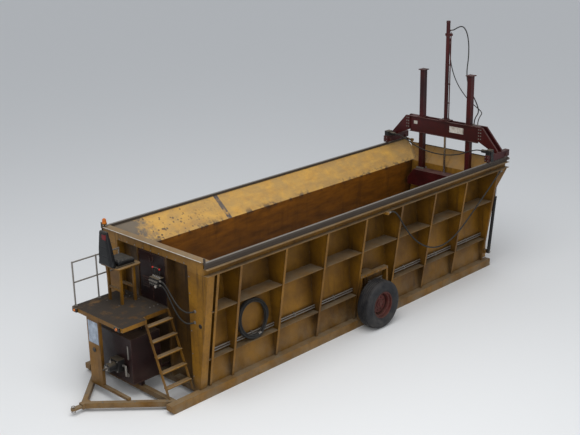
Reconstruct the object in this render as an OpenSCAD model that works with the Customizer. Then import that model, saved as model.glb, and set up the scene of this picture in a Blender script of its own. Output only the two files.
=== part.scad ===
// Towed cotton module builder: an open-bottomed pressing box on skids with two road wheels,
// a tramper carriage that runs along its rim, an operator's deck and a lift-up tailgate.
// +X is the towing end, +Y the left side, +Z up. Side shapes are drawn as [y, z] on the left
// side and mirrored. Lengths along X count from the first rib line at the box's rear.

/* [Pressing box] */
// Distance between ribs
rib_pitch = 1270; // [1200:5:1340]
// Number of full bays between ribs
bays = 7; // [5:1:8]
// Short bay between the last full rib and the narrow front rib
front_bay = 610; // [450:10:700]
// Gap from the narrow front rib to the front corner column
column_gap = 100; // [60:5:160]
// Half width inside the box at the skids
chamber_half_bottom = 1270; // [1180:5:1290]
// Half width inside the box at its narrowest height, under the flare
chamber_half_top = 1120; // [1040:5:1140]
// Height of the flare
flare_rise = 440; // [400:10:480]
// Depth of the flare's upper edge below the running face
flare_drop = 55; // [45:1:60]
// Thickness of wall sheets
sheet = 8; // [6:1:12]

/* [Skids and ribs] */
// Height of each skid beam
skid_h = 190; // [150:5:220]
// Width of each skid beam
skid_w = 162; // [140:2:180]
// Skid length behind the first rib line
skid_tail = 330; // [300:5:380]
// Skid length in front of the corner columns
skid_nose = 830; // [760:10:900]
// Distance from the box's lower edge out to the foot of the ribs
rib_foot = 68; // [60:2:90]
// Distance from the track's middle out to the head of the ribs
rib_head = 80; // [75:1:90]
// Visible width of a rib's outer flange
rib_flange = 60; // [40:2:80]
// Thickness of rib plates and shelves
plate = 10; // [8:1:12]
// Height of the lower shelf
shelf_low_z = 800; // [760:10:840]
// Height of the upper shelf
shelf_high_z = 1880; // [1840:10:1920]

/* [Rim and tracks] */
// Depth of the rim channel's lower edge below the running face
rim_drop = 283; // [270:1:300]
// Height of the rim channel
rim_h = 148; // [130:2:160]
// Depth of the rim channel
rim_depth = 125; // [100:5:140]
// Height of the track's running face
track_z = 2995; // [2970:5:3010]
// Half gauge of the two tracks
track_half = 1645; // [1640:1:1660]
// Width of the track's head
track_head_w = 60; // [50:2:70]
// Thickness of the track's head
track_head_h = 45; // [30:1:50]
// Overhang of tracks and rim behind the first rib line
rim_tail = 580; // [560:5:600]

/* [Front] */
// Depth of the front corner columns along X
column_depth = 180; // [140:5:220]
// Inner edge of the corner columns
column_inner = 1130; // [1100:5:1160]
// Lower edge of the front wall
front_wall_low_z = 100; // [60:5:150]
// Height of the front rim band
band_h = 170; // [150:5:200]

/* [Deck and tongue] */
// Height of the deck's top face
deck_z = 1750; // [1700:5:1800]
// Deck length in front of the corner columns
deck_len = 1270; // [1200:5:1320]
// Deck edge on the right side
deck_right = 1050; // [1000:5:1100]
// Deck edge on the left side, in front of the ladder
deck_left = 630; // [600:5:700]
// Deck edge beside the ladder
ladder_side = 470; // [440:5:500]
// Thickness of the deck with its edge frame
deck_t = 90; // [70:5:110]
// Height of the tongue arms
tongue_h = 110; // [90:5:130]
// Width of the tongue arms
tongue_w = 100; // [80:5:120]
// Underside of the tongue arms
tongue_low_z = 75; // [60:5:80]
// Tongue apex in front of the skids
tongue_reach = 1050; // [1000:10:1150]
// Radius of the hitch pin hole
hitch_bore_r = 17; // [12:0.5:22]

/* [Wheels] */
// Outer radius of the tyre
tyre_r = 570; // [540:5:590]
// Width of the tyre
tyre_w = 400; // [360:5:420]
// Gap between skid and tyre
tyre_gap = 80; // [60:5:100]
// Radius of the rim
rim_r = 300; // [280:5:330]
// Place of the axle line along the box
axle_x = 4680; // [4640:5:4700]
// Radius of the wheel spindle
spindle_r = 38; // [30:1:45]

/* [Tramper carriage] */
// Rear end of the end trucks
truck_rear = 590; // [570:5:600]
// Length of the end trucks
truck_len = 930; // [880:5:980]
// Radius of the track rollers
roller_r = 75; // [65:1:85]
// Height of the bridge's lower face above the running face
bridge_rise = 355; // [330:5:380]
// Height of the bridge
bridge_h = 420; // [380:5:440]
// Depth of the bridge along X
bridge_depth = 240; // [220:5:260]
// Place of the bridge's middle behind the first rib line
bridge_x = 140; // [120:5:160]
// Half length of the bridge
bridge_half = 1100; // [1060:5:1140]
// Half distance between the guide posts
post_half = 750; // [720:5:780]
// Side of the square guide posts
post_w = 130; // [110:2:140]
// Top of the guide posts above the running face, with the foot where it rests
post_rise = 2065; // [2000:5:2100]
// Depth of the tramper foot's lower face below the running face, where it rests
foot_drop = 1095; // [1050:5:1110]
// Height of the tramper foot
foot_h = 440; // [380:5:460]
// Top of the ram's barrel above the running face
mast_rise = 3385; // [3300:5:3420]
// Outer radius of the ram's barrel
mast_r = 50; // [46:1:58]
// Radius of the ram's rod
ram_rod_r = 32; // [28:1:36]

/* [Tailgate] */
// Clearance between the box end and the tailgate
gate_gap = 15; // [10:1:25]
// Depth of the tailgate's frame
gate_depth = 90; // [70:5:110]
// Lower edge of the tailgate
gate_low_z = 60; // [50:5:80]
// Distance that the tailgate's panel covers the box's lower edge on each side
gate_beyond = 30; // [20:2:40]
// Radius of the tailgate's hinge pins
hinge_r = 25; // [20:1:30]
// Radius of the tailgate cylinders' barrels
gate_barrel_r = 42; // [36:1:46]
// Radius of the tailgate cylinders' rods
gate_rod_r = 22; // [18:1:26]

/* [Operator's place] */
// Seat pedestal's middle in front of the corner columns
seat_ahead = 370; // [340:5:420]
// Seat pedestal's middle to the right of the centre line
seat_right = 550; // [480:5:600]
// Height of the seat platform above the deck
seat_rise = 780; // [700:10:820]
// Width of the seat
seat_w = 520; // [460:5:560]
// Height of the seat's back above its platform
seat_back_h = 800; // [700:10:840]
// Width of the reservoir across the machine
reservoir_w = 1100; // [900:10:1150]
// Height of the reservoir
reservoir_h = 980; // [900:10:1000]
// Radius of the pump's splined input shaft
input_shaft_r = 17.5; // [15:0.5:20]
// Number of ladder rungs
rungs = 5; // [4:1:6]

/* [Hidden] */

ochre = [0.55, 0.38, 0.10];
tan_paint = [0.74, 0.56, 0.26];
oxide_red = [0.35, 0.07, 0.06];
worn_steel = [0.55, 0.54, 0.52];
black = [0.06, 0.06, 0.07];

eps_fit = 0.05;
seat_fit = 0.3;
slide_gap = 6;

skid_half = chamber_half_bottom + sheet + skid_w;
rib_half_bottom = chamber_half_bottom + rib_foot;
rib_half_top = track_half + rib_head;
rim_low_z = track_z - rim_drop;
flare_z = track_z - flare_drop;
knuckle_z = flare_z - flare_rise;
tyre_inner = skid_half + tyre_gap;
bridge_low_z = track_z + bridge_rise;
bridge_top_z = bridge_low_z + bridge_h;
post_top_z = track_z + post_rise;
foot_z = track_z - foot_drop;
mast_top_z = track_z + mast_rise;
gate_half = chamber_half_bottom + gate_beyond;

column_x = bays * rib_pitch + front_bay + column_gap;
front_x = column_x + column_depth;
skid_front_x = front_x + skid_nose;
wall_rear_x = -200;
knuckle_drop = 4;
flare_half_out = track_half - 10;

tongue_root_x = skid_front_x - 160;
tongue_tip_x = skid_front_x + tongue_reach;
hitch_reach = 290;
hitch_tip_x = tongue_tip_x + hitch_reach;
hinge_x = -rim_tail - 35;
hinge_z = track_z - 65;
hinge_lug = 40;
rear_tip_x = hinge_x - hinge_lug;
x_mid = (hitch_tip_x + rear_tip_x) / 2;

function lerp_at(a, b, t) = a + (b - a) * t;
function rib_y(z) = lerp_at(rib_half_bottom, rib_half_top, (z - skid_h) / (rim_low_z - skid_h));
function wall_y(z) = sheet + lerp_at(chamber_half_bottom, chamber_half_top,
    (z - skid_h) / (knuckle_z - skid_h));
function flare_under_y(z) = lerp_at(chamber_half_top + sheet, flare_half_out,
    (z - knuckle_z + knuckle_drop) / (flare_z - sheet * 1.5 - knuckle_z + knuckle_drop));
function rib_x(k) = k * rib_pitch;

module from_rear() { translate([-x_mid, 0, 0]) children(); }
module both_sides() {
    children();
    mirror([0, 1, 0]) children();
}
module right_side() { mirror([0, 1, 0]) children(); }
// A [y, z] outline drawn out along X from x for a length w
module along_x(x, w) { translate([x, 0, 0]) rotate([90, 0, 90]) linear_extrude(w) children(); }
// An [x, z] outline drawn out along Y from y for a width w
module along_y(y, w) { translate([0, y + w, 0]) rotate([90, 0, 0]) linear_extrude(w) children(); }
// A round bar along Y
module bar_y(x, y, z, r, w) { translate([x, y, z]) rotate([-90, 0, 0]) cylinder(r = r, h = w, $fn = 48); }
module box_at(x, y, z, size) { translate([x, y, z]) cube(size); }

// Pressing box

module skids() {
    chamfer = 70;
    color(tan_paint) from_rear() both_sides()
        along_y(chamber_half_bottom + sheet, skid_half - chamber_half_bottom - sheet)
            polygon([[-skid_tail, 0], [skid_front_x - chamfer, 0], [skid_front_x, chamfer],
                [skid_front_x, skid_h], [-skid_tail, skid_h]]);
}

module side_wall() {
    low_z = 40;
    from_rear() {
        along_x(wall_rear_x, column_x - wall_rear_x)
            polygon([[chamber_half_bottom, low_z], [chamber_half_bottom + sheet, low_z],
                [chamber_half_bottom + sheet, skid_h], [chamber_half_top + sheet, knuckle_z - knuckle_drop],
                [chamber_half_top, knuckle_z], [chamber_half_bottom, skid_h]]);
        along_x(-rim_tail, column_x + rim_tail)
            polygon([[chamber_half_top, knuckle_z], [chamber_half_top + sheet, knuckle_z - knuckle_drop],
                [flare_half_out, flare_z - sheet * 1.5], [flare_half_out, flare_z]]);
    }
}
module side_wall_left() { color(ochre) side_wall(); }
module side_wall_right() { color(ochre) right_side() side_wall(); }

module rib_outline() {
    rim_inner = rib_half_top - rim_depth;
    head_z = rim_low_z + rim_h;
    polygon([[chamber_half_bottom + sheet, skid_h], [rib_half_bottom, skid_h],
        [rib_half_top, rim_low_z], [rim_inner, rim_low_z], [rim_inner, head_z],
        [flare_under_y(head_z), head_z], [chamber_half_top + sheet, knuckle_z - knuckle_drop]]);
}
module rib_flange_outline() {
    polygon([[rib_half_bottom - plate, skid_h], [rib_half_bottom, skid_h],
        [rib_half_top, rim_low_z], [rib_half_top - plate, rim_low_z]]);
}

pipe_r = 15;
pipe_gap = 24;
pipe_y = wall_y(shelf_low_z) + 40;
pipe_rise = 60;
pipe_low_z = shelf_low_z + plate + pipe_r + pipe_rise;
module pipe_runs(r, x, w) {
    for (step = [0, 1])
        translate([x, pipe_y, pipe_low_z + step * (2 * pipe_r + pipe_gap)])
            rotate([0, 90, 0]) cylinder(r = r, h = w, $fn = 32);
}

module ribs() {
    narrow_x = rib_x(bays) + front_bay;
    color(ochre) from_rear() both_sides() difference() {
        for (x = concat([for (k = [1 : bays]) rib_x(k)], [narrow_x])) {
            along_x(x - plate / 2, plate) rib_outline();
            along_x(x - rib_flange / 2, rib_flange) rib_flange_outline();
        }
        pipe_runs(pipe_r + seat_fit, 0, column_x);
    }
}

module shelves() {
    rib_lines = concat([for (k = [0 : bays]) rib_x(k)], [rib_x(bays) + front_bay, column_x]);
    wheel_bay = floor(axle_x / rib_pitch);
    color(ochre) from_rear() both_sides() for (z = [shelf_low_z, shelf_high_z])
        for (k = [0 : len(rib_lines) - 2])
            if (z == shelf_high_z || k != wheel_bay) {
                start = rib_lines[k] + (k == 0 ? -post_front : plate / 2);
                end = rib_lines[k + 1] - (k == len(rib_lines) - 2 ? 0 : plate / 2);
                inset = plate + 1;
                along_x(start, end - start)
                    polygon([[wall_y(z), z], [rib_y(z) - inset, z],
                        [rib_y(z + plate) - inset, z + plate], [wall_y(z + plate), z + plate]]);
            }
}

module top_rails() {
    web_y = rib_half_top - rim_depth;
    edge_y = rib_half_top + 5;
    clip_h = 64;
    clip_seat = 60;
    color(tan_paint) from_rear() {
        both_sides() along_x(-rim_tail, front_x + rim_tail)
            polygon([[web_y, rim_low_z], [edge_y, rim_low_z], [edge_y, rim_low_z + plate],
                [web_y + plate, rim_low_z + plate], [web_y + plate, rim_low_z + rim_h - plate],
                [edge_y, rim_low_z + rim_h - plate], [edge_y, rim_low_z + rim_h],
                [web_y, rim_low_z + rim_h]]);
        // Clips that hold the ends of the hanging hose
        for (x = side_hose_clips)
            box_at(x, edge_y - clip_seat, rim_low_z - clip_h + clip_seat / 3,
                [clip_len, clip_seat + clip_h, clip_h]);
    }
}

module tracks() {
    web_half = 10;
    stop_h = 90;
    color(worn_steel) from_rear() both_sides() {
        along_x(-rim_tail, front_x + rim_tail)
            polygon([[track_half - web_half, rim_low_z + rim_h], [track_half + web_half, rim_low_z + rim_h],
                [track_half + web_half, track_z - track_head_h],
                [track_half + track_head_w / 2, track_z - track_head_h],
                [track_half + track_head_w / 2, track_z], [track_half - track_head_w / 2, track_z],
                [track_half - track_head_w / 2, track_z - track_head_h],
                [track_half - web_half, track_z - track_head_h]]);
        box_at(front_x - plate, track_half - track_head_w / 2, track_z, [plate, track_head_w, stop_h]);
    }
}

// Rear posts carry the rim's overhang, the tailgate's hinge pins and its cylinders
post_front = 60;
post_rear = 130;
gate_base_x = -140;
gate_base_z = 450;
gate_pin_r = 18;
gate_cyl_out = 162;
gate_cyl_y = rib_half_bottom + gate_cyl_out;
ear_in = 220;
ear_y = track_half - ear_in;
ear_w = 65;
module rear_posts() {
    gusset_in = 80;
    gusset_h = 472;
    gusset_y = rib_half_top - gusset_in;
    gusset_low_z = rim_low_z - gusset_h;
    gusset_tip = 60;
    lug_gap = 110;
    lug_y = ear_y + ear_w + lug_gap;
    lug_w = 60;
    lug_len = -rim_tail - hinge_x;
    bracket_half = 45;
    bracket_inner = rib_half_bottom - 20;
    bracket_outer = gate_cyl_y - gate_barrel_r - slide_gap;
    pin_over = 30;
    color(ochre) from_rear() both_sides() {
        along_x(-post_rear, post_rear - post_front) polygon([[chamber_half_bottom + sheet, skid_h],
            [rib_half_bottom, skid_h], [rib_half_top, rim_low_z],
            [flare_under_y(rim_low_z), rim_low_z],
            [chamber_half_top + sheet, knuckle_z - knuckle_drop]]);
        along_y(gusset_y, plate)
            polygon([[-post_rear, gusset_low_z], [-post_rear, rim_low_z], [-rim_tail, rim_low_z],
                [-rim_tail, rim_low_z - gusset_tip]]);
        along_y(lug_y, lug_w) translate([hinge_x, hinge_z]) intersection() {
            union() {
                circle(r = hinge_lug, $fn = 40);
                translate([0, -hinge_lug]) square([lug_len, 2 * hinge_lug]);
            }
            translate([-hinge_lug, -hinge_lug]) square([hinge_lug + lug_len, 2 * hinge_lug]);
        }
        bar_y(hinge_x, ear_y - 10, hinge_z, hinge_r, lug_y + lug_w - ear_y + 10);
        box_at(gate_base_x - bracket_half, bracket_inner, gate_base_z - bracket_half,
            [-post_front - gate_base_x + bracket_half, bracket_outer - bracket_inner, 2 * bracket_half]);
        bar_y(gate_base_x, bracket_outer, gate_base_z, gate_pin_r, gate_cyl_y + pin_over - bracket_outer);
    }
}

// Height of the front band's top above the flare's edge
band_over = 50;
wall_post_w = 60;
wall_post_y = 465;
module front_wall() {
    sill_h = 120;
    wall_h = flare_z - band_h + band_over - front_wall_low_z;
    color(ochre) from_rear() {
        box_at(column_x, -column_inner, front_wall_low_z, [sheet, 2 * column_inner, wall_h]);
        both_sides() box_at(column_x + sheet, wall_post_y - wall_post_w / 2, front_wall_low_z,
            [column_depth - sheet, wall_post_w, wall_h]);
        box_at(column_x + sheet, -column_inner, front_wall_low_z,
            [column_depth - sheet, 2 * column_inner, sill_h]);
    }
}

module front_columns() {
    color(ochre) from_rear() both_sides() along_x(column_x, column_depth)
        polygon([[column_inner, front_wall_low_z], [chamber_half_bottom, front_wall_low_z],
            [chamber_half_bottom, skid_h], [rib_half_bottom, skid_h], [rib_half_top, rim_low_z],
            [column_inner, rim_low_z]]);
}

module front_band() {
    band_top_z = flare_z + band_over;
    lip = 25;
    rim_inner = rib_half_top - rim_depth;
    color(tan_paint) from_rear() {
        along_x(column_x, column_depth)
            polygon([[-column_inner, band_top_z - band_h], [column_inner, band_top_z - band_h],
                [column_inner, rim_low_z], [rim_inner, rim_low_z], [rim_inner, band_top_z],
                [-rim_inner, band_top_z], [-rim_inner, rim_low_z], [-column_inner, rim_low_z]]);
        box_at(column_x, -rim_inner, band_top_z - plate, [column_depth + lip, 2 * rim_inner, plate]);
    }
}

module cross_member() {
    color(ochre) from_rear() box_at(tongue_root_x - tongue_w, -chamber_half_bottom - sheet, tongue_low_z,
        [tongue_w, 2 * (chamber_half_bottom + sheet), tongue_h]);
}

hitch_half = 60;
hitch_hole_x = hitch_tip_x - 55;
module tongue_arm() {
    run = tongue_tip_x - tongue_root_x;
    rise = chamber_half_bottom - hitch_half;
    across = tongue_w * sqrt(run * run + rise * rise) / run;
    from_rear() translate([0, 0, tongue_low_z]) linear_extrude(tongue_h)
        polygon([[tongue_root_x, chamber_half_bottom], [tongue_root_x, chamber_half_bottom - across],
            [tongue_tip_x - across * run / rise, hitch_half], [tongue_tip_x, hitch_half]]);
}
module tongue_left() { color(ochre) tongue_arm(); }
module tongue_right() { color(ochre) right_side() tongue_arm(); }

module hitch() {
    run = tongue_tip_x - tongue_root_x;
    rise = chamber_half_bottom - hitch_half;
    across = tongue_w * sqrt(run * run + rise * rise) / rise;
    plate_h = 40;
    color(ochre) from_rear() difference() {
        union() {
            box_at(tongue_tip_x - across, -hitch_half, tongue_low_z,
                [across + 60, 2 * hitch_half, tongue_h]);
            translate([0, 0, tongue_low_z + (tongue_h - plate_h) / 2]) linear_extrude(plate_h) {
                translate([tongue_tip_x, -hitch_half + 5])
                    square([hitch_hole_x - tongue_tip_x, 2 * hitch_half - 10]);
                translate([hitch_hole_x, 0]) circle(r = hitch_half - 5, $fn = 64);
            }
        }
        translate([hitch_hole_x, 0, 0])
            cylinder(r = hitch_bore_r, h = 2 * (tongue_low_z + tongue_h), $fn = 48);
    }
}

// Operator's deck

ladder_w = 620;
ladder_x = front_x + 40;
deck_front_x = front_x + deck_len;
module deck() {
    step_x = ladder_x + ladder_w + 20;
    color(ochre) from_rear() translate([0, 0, deck_z - deck_t]) linear_extrude(deck_t)
        polygon([[front_x, -deck_right], [deck_front_x, -deck_right], [deck_front_x, deck_left],
            [step_x, deck_left], [step_x, ladder_side], [front_x, ladder_side]]);
}

deck_post_w = 400;
deck_post_right = 600;
module deck_post() {
    flange = 70;
    face_x = deck_front_x - 20;
    beam_h = 60;
    beam_half = 620;
    foot_z = tongue_low_z + tongue_h;
    post_h = deck_z - deck_t - foot_z - beam_h;
    color(ochre) from_rear() {
        box_at(face_x - plate, -deck_post_right, foot_z + beam_h, [plate, deck_post_w, post_h]);
        for (y = [-deck_post_right, -deck_post_right + deck_post_w - plate])
            box_at(face_x - flange, y, foot_z + beam_h, [flange, plate, post_h]);
        box_at(face_x - flange, -beam_half, foot_z, [flange, 2 * beam_half, beam_h]);
    }
}

ladder_foot_y = chamber_half_bottom - 150;
ladder_foot_z = tongue_low_z + tongue_h;
module ladder() {
    stringer_t = 14;
    stringer_d = 70;
    top_z = deck_z;
    rise = top_z - ladder_foot_z;
    run = ladder_foot_y - ladder_side;
    tread_d = 110;
    tread_t = 30;
    pitch = rise / (rungs + 0.3);
    low_step = 0.64;
    color(ochre) from_rear() {
        for (x = [ladder_x, ladder_x + ladder_w - stringer_t])
            along_x(x, stringer_t)
                polygon([[ladder_foot_y, ladder_foot_z], [ladder_foot_y + stringer_d, ladder_foot_z],
                    [ladder_side + stringer_d, top_z], [ladder_side, top_z]]);
        for (k = [1 : rungs]) {
            z = ladder_foot_z + (k - 1 + low_step) * pitch;
            y = ladder_foot_y - run * (z - ladder_foot_z) / rise;
            box_at(ladder_x, y - 20, z, [ladder_w, tread_d, tread_t]);
        }
    }
}

rail_r = 17;
module handrail() {
    // Columns: x in front of the box's front, y
    stanchion_y = -deck_right + 40;
    stanchions = [[deck_len - 60, stanchion_y], [deck_len / 2, stanchion_y], [60, stanchion_y]];
    rail_h = 950;
    mid_h = 500;
    color(worn_steel) from_rear() translate([front_x, 0, deck_z]) {
        for (s = stanchions) translate([s[0], s[1], 0]) cylinder(r = rail_r, h = rail_h, $fn = 24);
        for (z = [mid_h, rail_h - rail_r])
            translate([stanchions[2][0], stanchions[2][1], z]) rotate([0, 90, 0])
                cylinder(r = rail_r * 0.9, h = stanchions[0][0] - stanchions[2][0], $fn = 24);
    }
}

seat_x = front_x + seat_ahead;
seat_platform_t = 30;
module seat_pedestal() {
    leg = 50;
    half_x = 190;
    half_y = 230;
    floor_z = deck_z;
    top_z = deck_z + seat_rise;
    color(ochre) from_rear() translate([seat_x, -seat_right, 0]) {
        for (x = [-half_x, half_x - leg]) for (y = [-half_y, half_y - leg])
            box_at(x, y, floor_z, [leg, leg, seat_rise]);
        box_at(-half_x, -half_y, floor_z + seat_rise * 0.35, [leg, 2 * half_y, leg]);
        box_at(half_x - leg, -half_y, floor_z + seat_rise * 0.35, [leg, 2 * half_y, leg]);
        translate([0, 0, top_z]) linear_extrude(seat_platform_t)
            offset(r = 60) square([2 * half_x + 60, 2 * half_y + 60], center = true);
    }
}

module seat() {
    cushion_h = 150;
    cushion_d = 480;
    back_t = 150;
    lean = 60;
    head_w = 260;
    head_t = 90;
    edge_t = 10;
    base_z = deck_z + seat_rise + seat_platform_t + seat_fit;
    color(black) from_rear() translate([seat_x, -seat_right, base_z]) {
        box_at(-cushion_d / 2, -seat_w / 2, 0, [cushion_d, seat_w, cushion_h]);
        hull() {
            box_at(cushion_d / 2 - edge_t, -seat_w / 2, 0, [back_t, seat_w, cushion_h]);
            box_at(cushion_d / 2 + lean, -head_w / 2, seat_back_h - edge_t, [head_t, head_w, edge_t]);
        }
    }
}

cabinet_half = wall_post_y - wall_post_w / 2 - 5;
cabinet_x = column_x + sheet;
cabinet_front_x = front_x - 10;
module valve_box() {
    door_t = 8;
    door_edge = 30;
    top_z = flare_z + band_over - band_h - 5;
    door_w = cabinet_half - 1.5 * door_edge;
    color(oxide_red) from_rear() {
        box_at(cabinet_x, -cabinet_half, deck_z,
            [cabinet_front_x - door_t - cabinet_x, 2 * cabinet_half, top_z - deck_z]);
        both_sides() box_at(cabinet_front_x - 2 * door_t, door_edge / 2, deck_z + door_edge,
            [2 * door_t, door_w, top_z - deck_z - 2 * door_edge]);
    }
}

// The valve bank on the cabinet's left door
bank_y = 90;
bank_w = 280;
bank_rise = 430;
bank_h = 180;
bank_depth = 160;
module levers() {
    lever_r = 9;
    knob_r = 20;
    lever_x = cabinet_front_x + bank_depth / 2;
    lever_h = 190;
    lever_inset = 35;
    count = 5;
    top_z = deck_z + bank_rise + bank_h;
    span = bank_w - 2 * lever_inset;
    color(black) from_rear() {
        box_at(cabinet_front_x, bank_y, deck_z + bank_rise, [bank_depth, bank_w, bank_h]);
        for (k = [0 : count - 1])
            translate([lever_x, bank_y + lever_inset + k * span / (count - 1), top_z]) {
                cylinder(r = lever_r, h = lever_h, $fn = 20);
                translate([0, 0, lever_h]) sphere(r = knob_r, $fn = 24);
            }
    }
}

reservoir_x = front_x + 200;
reservoir_len = 720;
reservoir_y = -720;
reservoir_z = 330;
module reservoir() {
    leg = 60;
    leg_inset = 100;
    arm_rise = 60;
    neck_r = 60;
    neck_h = 90;
    neck_x = 200;
    neck_y = 250;
    foot_z = tongue_low_z + tongue_h;
    color(oxide_red) from_rear() {
        box_at(reservoir_x, reservoir_y, reservoir_z, [reservoir_len, reservoir_w, reservoir_h]);
        for (y = [reservoir_y + leg_inset, reservoir_y + reservoir_w - leg_inset - leg]) {
            box_at(tongue_root_x - tongue_w, y, foot_z, [tongue_w, leg, reservoir_z - foot_z]);
            box_at(column_x + sheet, y, reservoir_z + arm_rise,
                [reservoir_x - column_x - sheet, leg, leg]);
        }
        translate([reservoir_x + neck_x, reservoir_y + neck_y, reservoir_z + reservoir_h])
            cylinder(r = neck_r, h = neck_h, $fn = 40);
    }
}

pump_y = 0;
pump_z = 700;
shaft_len = 90;
module pump() {
    gear_len = 170;
    gear_half = 130;
    pump_r = 95;
    pump_len = 180;
    start_x = reservoir_x + reservoir_len;
    color(black) from_rear() translate([start_x, pump_y, pump_z]) rotate([0, 90, 0]) {
        translate([-gear_half, -gear_half, 0]) cube([2 * gear_half, 2 * gear_half, gear_len]);
        cylinder(r = pump_r, h = gear_len + pump_len, $fn = 48);
        cylinder(r = input_shaft_r, h = gear_len + pump_len + shaft_len, $fn = 48);
    }
}

// Hoses and pipes

// Points of a smooth curve through a route, with a number of steps from each point to the next
function curve_point(a, b, c, d, t) = 0.5 * (2 * b + (c - a) * t + (2 * a - 5 * b + 4 * c - d) * t * t
    + (3 * b - a - 3 * c + d) * t * t * t);
function smooth(route, steps) = let (last = len(route) - 1) concat(
    [for (i = [0 : last - 1]) for (s = [0 : steps - 1])
        curve_point(route[max(i - 1, 0)], route[i], route[i + 1], route[min(i + 2, last)], s / steps)],
    [route[last]]);
function unit(v) = v / norm(v);
function heading(path, i) = unit(path[min(i + 1, len(path) - 1)] - path[max(i - 1, 0)]);
// Side vectors of each ring, carried along the path so that the tube doesn't twist
function frames(path, i = 0, side = undef, out = []) = i == len(path) ? out :
    let (dir = heading(path, i),
        seed = side == undef ? (abs(dir[2]) < 0.9 ? [0, 0, 1] : [0, 1, 0]) : side,
        u = unit(seed - dir * (seed * dir)))
    frames(path, i + 1, u, concat(out, [[u, cross(dir, u)]]));
module hose_tube(path, r, sides) {
    rings = frames(path);
    n = len(path);
    points = [for (i = [0 : n - 1]) for (s = [0 : sides - 1])
        path[i] + r * (cos(360 * s / sides) * rings[i][0] + sin(360 * s / sides) * rings[i][1])];
    walls = [for (i = [0 : n - 2]) for (s = [0 : sides - 1]) let (next = (s + 1) % sides)
        [i * sides + s, i * sides + next, (i + 1) * sides + next, (i + 1) * sides + s]];
    polyhedron(points, concat([[for (s = [sides - 1 : -1 : 0]) s]], walls,
        [[for (s = [0 : sides - 1]) (n - 1) * sides + s]]), convexity = 10);
}

mast_hose_r = 15;
return_hose_r = 12;
side_hose_r = 17;
thin_hose_r = 16;
hose_sides = 8;
mast_port_len = 82;
mast_port_drop = 260;
mast_port_x = -bridge_x - mast_port_len;
mast_port_z = mast_top_z - mast_port_drop;
// Points as [x from the port, y, share of the height from the bridge up to the port]
mast_hose_shape = [[-0.3, 0, 1], [-60, 0, 1], [-120, 0, 1], [-185, 1, 1.003], [-255, 4, 1.011],
    [-335, 8, 1.019], [-425, 13, 1.0235], [-515, 19, 1.019], [-600, 27, 0.997], [-675, 38, 0.955],
    [-728, 50, 0.895], [-752, 66, 0.82], [-740, 86, 0.735], [-690, 115, 0.655], [-610, 152, 0.585],
    [-520, 205, 0.515], [-440, 280, 0.445], [-385, 375, 0.378], [-355, 480, 0.315], [-340, 590, 0.255],
    [-312, 690, 0.2], [-266, 765, 0.164], [-208, 818, 0.141], [-150, 853, 0.1265], [-95, 877, 0.116],
    [-42, 893, 0.1065], [8, 899, 0.094], [48, 900, 0.0755], [74, 900, 0.053], [mast_port_len, 900, 0.03],
    [mast_port_len, 900, 0.015], [mast_port_len, 900, 0.0001]];
mast_hose_route = [for (p = mast_hose_shape)
    [mast_port_x + p[0], p[1], lerp_at(bridge_top_z, mast_port_z, p[2])]];
// The return line leaves an elbow lower on the barrel: [x from the barrel, y, share of the height]
mast_elbow_x = 95;
mast_elbow_drop = 480;
mast_elbow_len = 50;
mast_elbow_z = mast_top_z - mast_elbow_drop;
return_hose_shape = [[-mast_elbow_x, 0, 0.9999], [-mast_elbow_x, 0, 0.976],
    [-mast_elbow_x, 0, 0.9519], [-96, 2, 0.899],
    [-101, 8, 0.8365], [-111, 20, 0.7692], [-125, 41, 0.6995], [-143, 74, 0.6298], [-163, 120, 0.5601],
    [-184, 181, 0.4928], [-205, 256, 0.4303], [-225, 342, 0.3726], [-243, 437, 0.3197],
    [-258, 538, 0.274], [-268, 640, 0.238], [-273, 735, 0.2091], [-270, 820, 0.1865],
    [-255, 895, 0.1683], [-226, 955, 0.1529], [-184, 992, 0.1404], [-132, 1007, 0.1284],
    [-84, 1010, 0.112], [-43, 1010, 0.0899], [-13, 1010, 0.0639], [0, 1010, 0.0385], [0, 1010, 0.0192],
    [0, 1010, 0.0001]];
return_hose_route = [for (p = return_hose_shape)
    [-bridge_x + p[0], p[1], lerp_at(bridge_top_z, mast_elbow_z - mast_elbow_len, p[2])]];
// The line between the two drive motors: [share of the way out to the motor, drop below it]
drive_motor_len = 170;
drive_box_h = 130;
drive_hose_half = [[0.9998, 0], [0.96, 0], [0.92, 0], [0.86, 14], [0.77, 56], [0.655, 122], [0.527, 195],
    [0.391, 250], [0.249, 288], [0.085, 308]];
side_hose_clips = [4400, -260];
clip_len = 60;
// Points as [x from the first rib line, distance out from the ribs' heads, drop below the rim]
side_hose_shape = [[4399.7, 37, 12], [4350, 37, 12], [4300, 37, 12], [4250, 38, 16], [4196, 40, 34],
    [4140, 44, 72], [4080, 49, 133], [4010, 55, 222], [3928, 61, 340], [3825, 67, 485],
    [3690, 72, 655], [3520, 75, 830], [3310, 75, 1000], [3070, 75, 1150], [2800, 75, 1265],
    [2510, 75, 1325], [2210, 75, 1320], [1910, 75, 1245], [1600, 75, 1105], [1290, 75, 915],
    [990, 75, 715], [710, 74, 530], [470, 71, 372], [280, 65, 250], [140, 58, 160], [38, 50, 95],
    [-42, 43, 50], [-100, 39, 24], [-150, 37, 13], [-199.7, 37, 12]];
side_hose_route = [for (p = side_hose_shape) [p[0], rib_half_top + p[1], rim_low_z - p[2]]];
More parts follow.
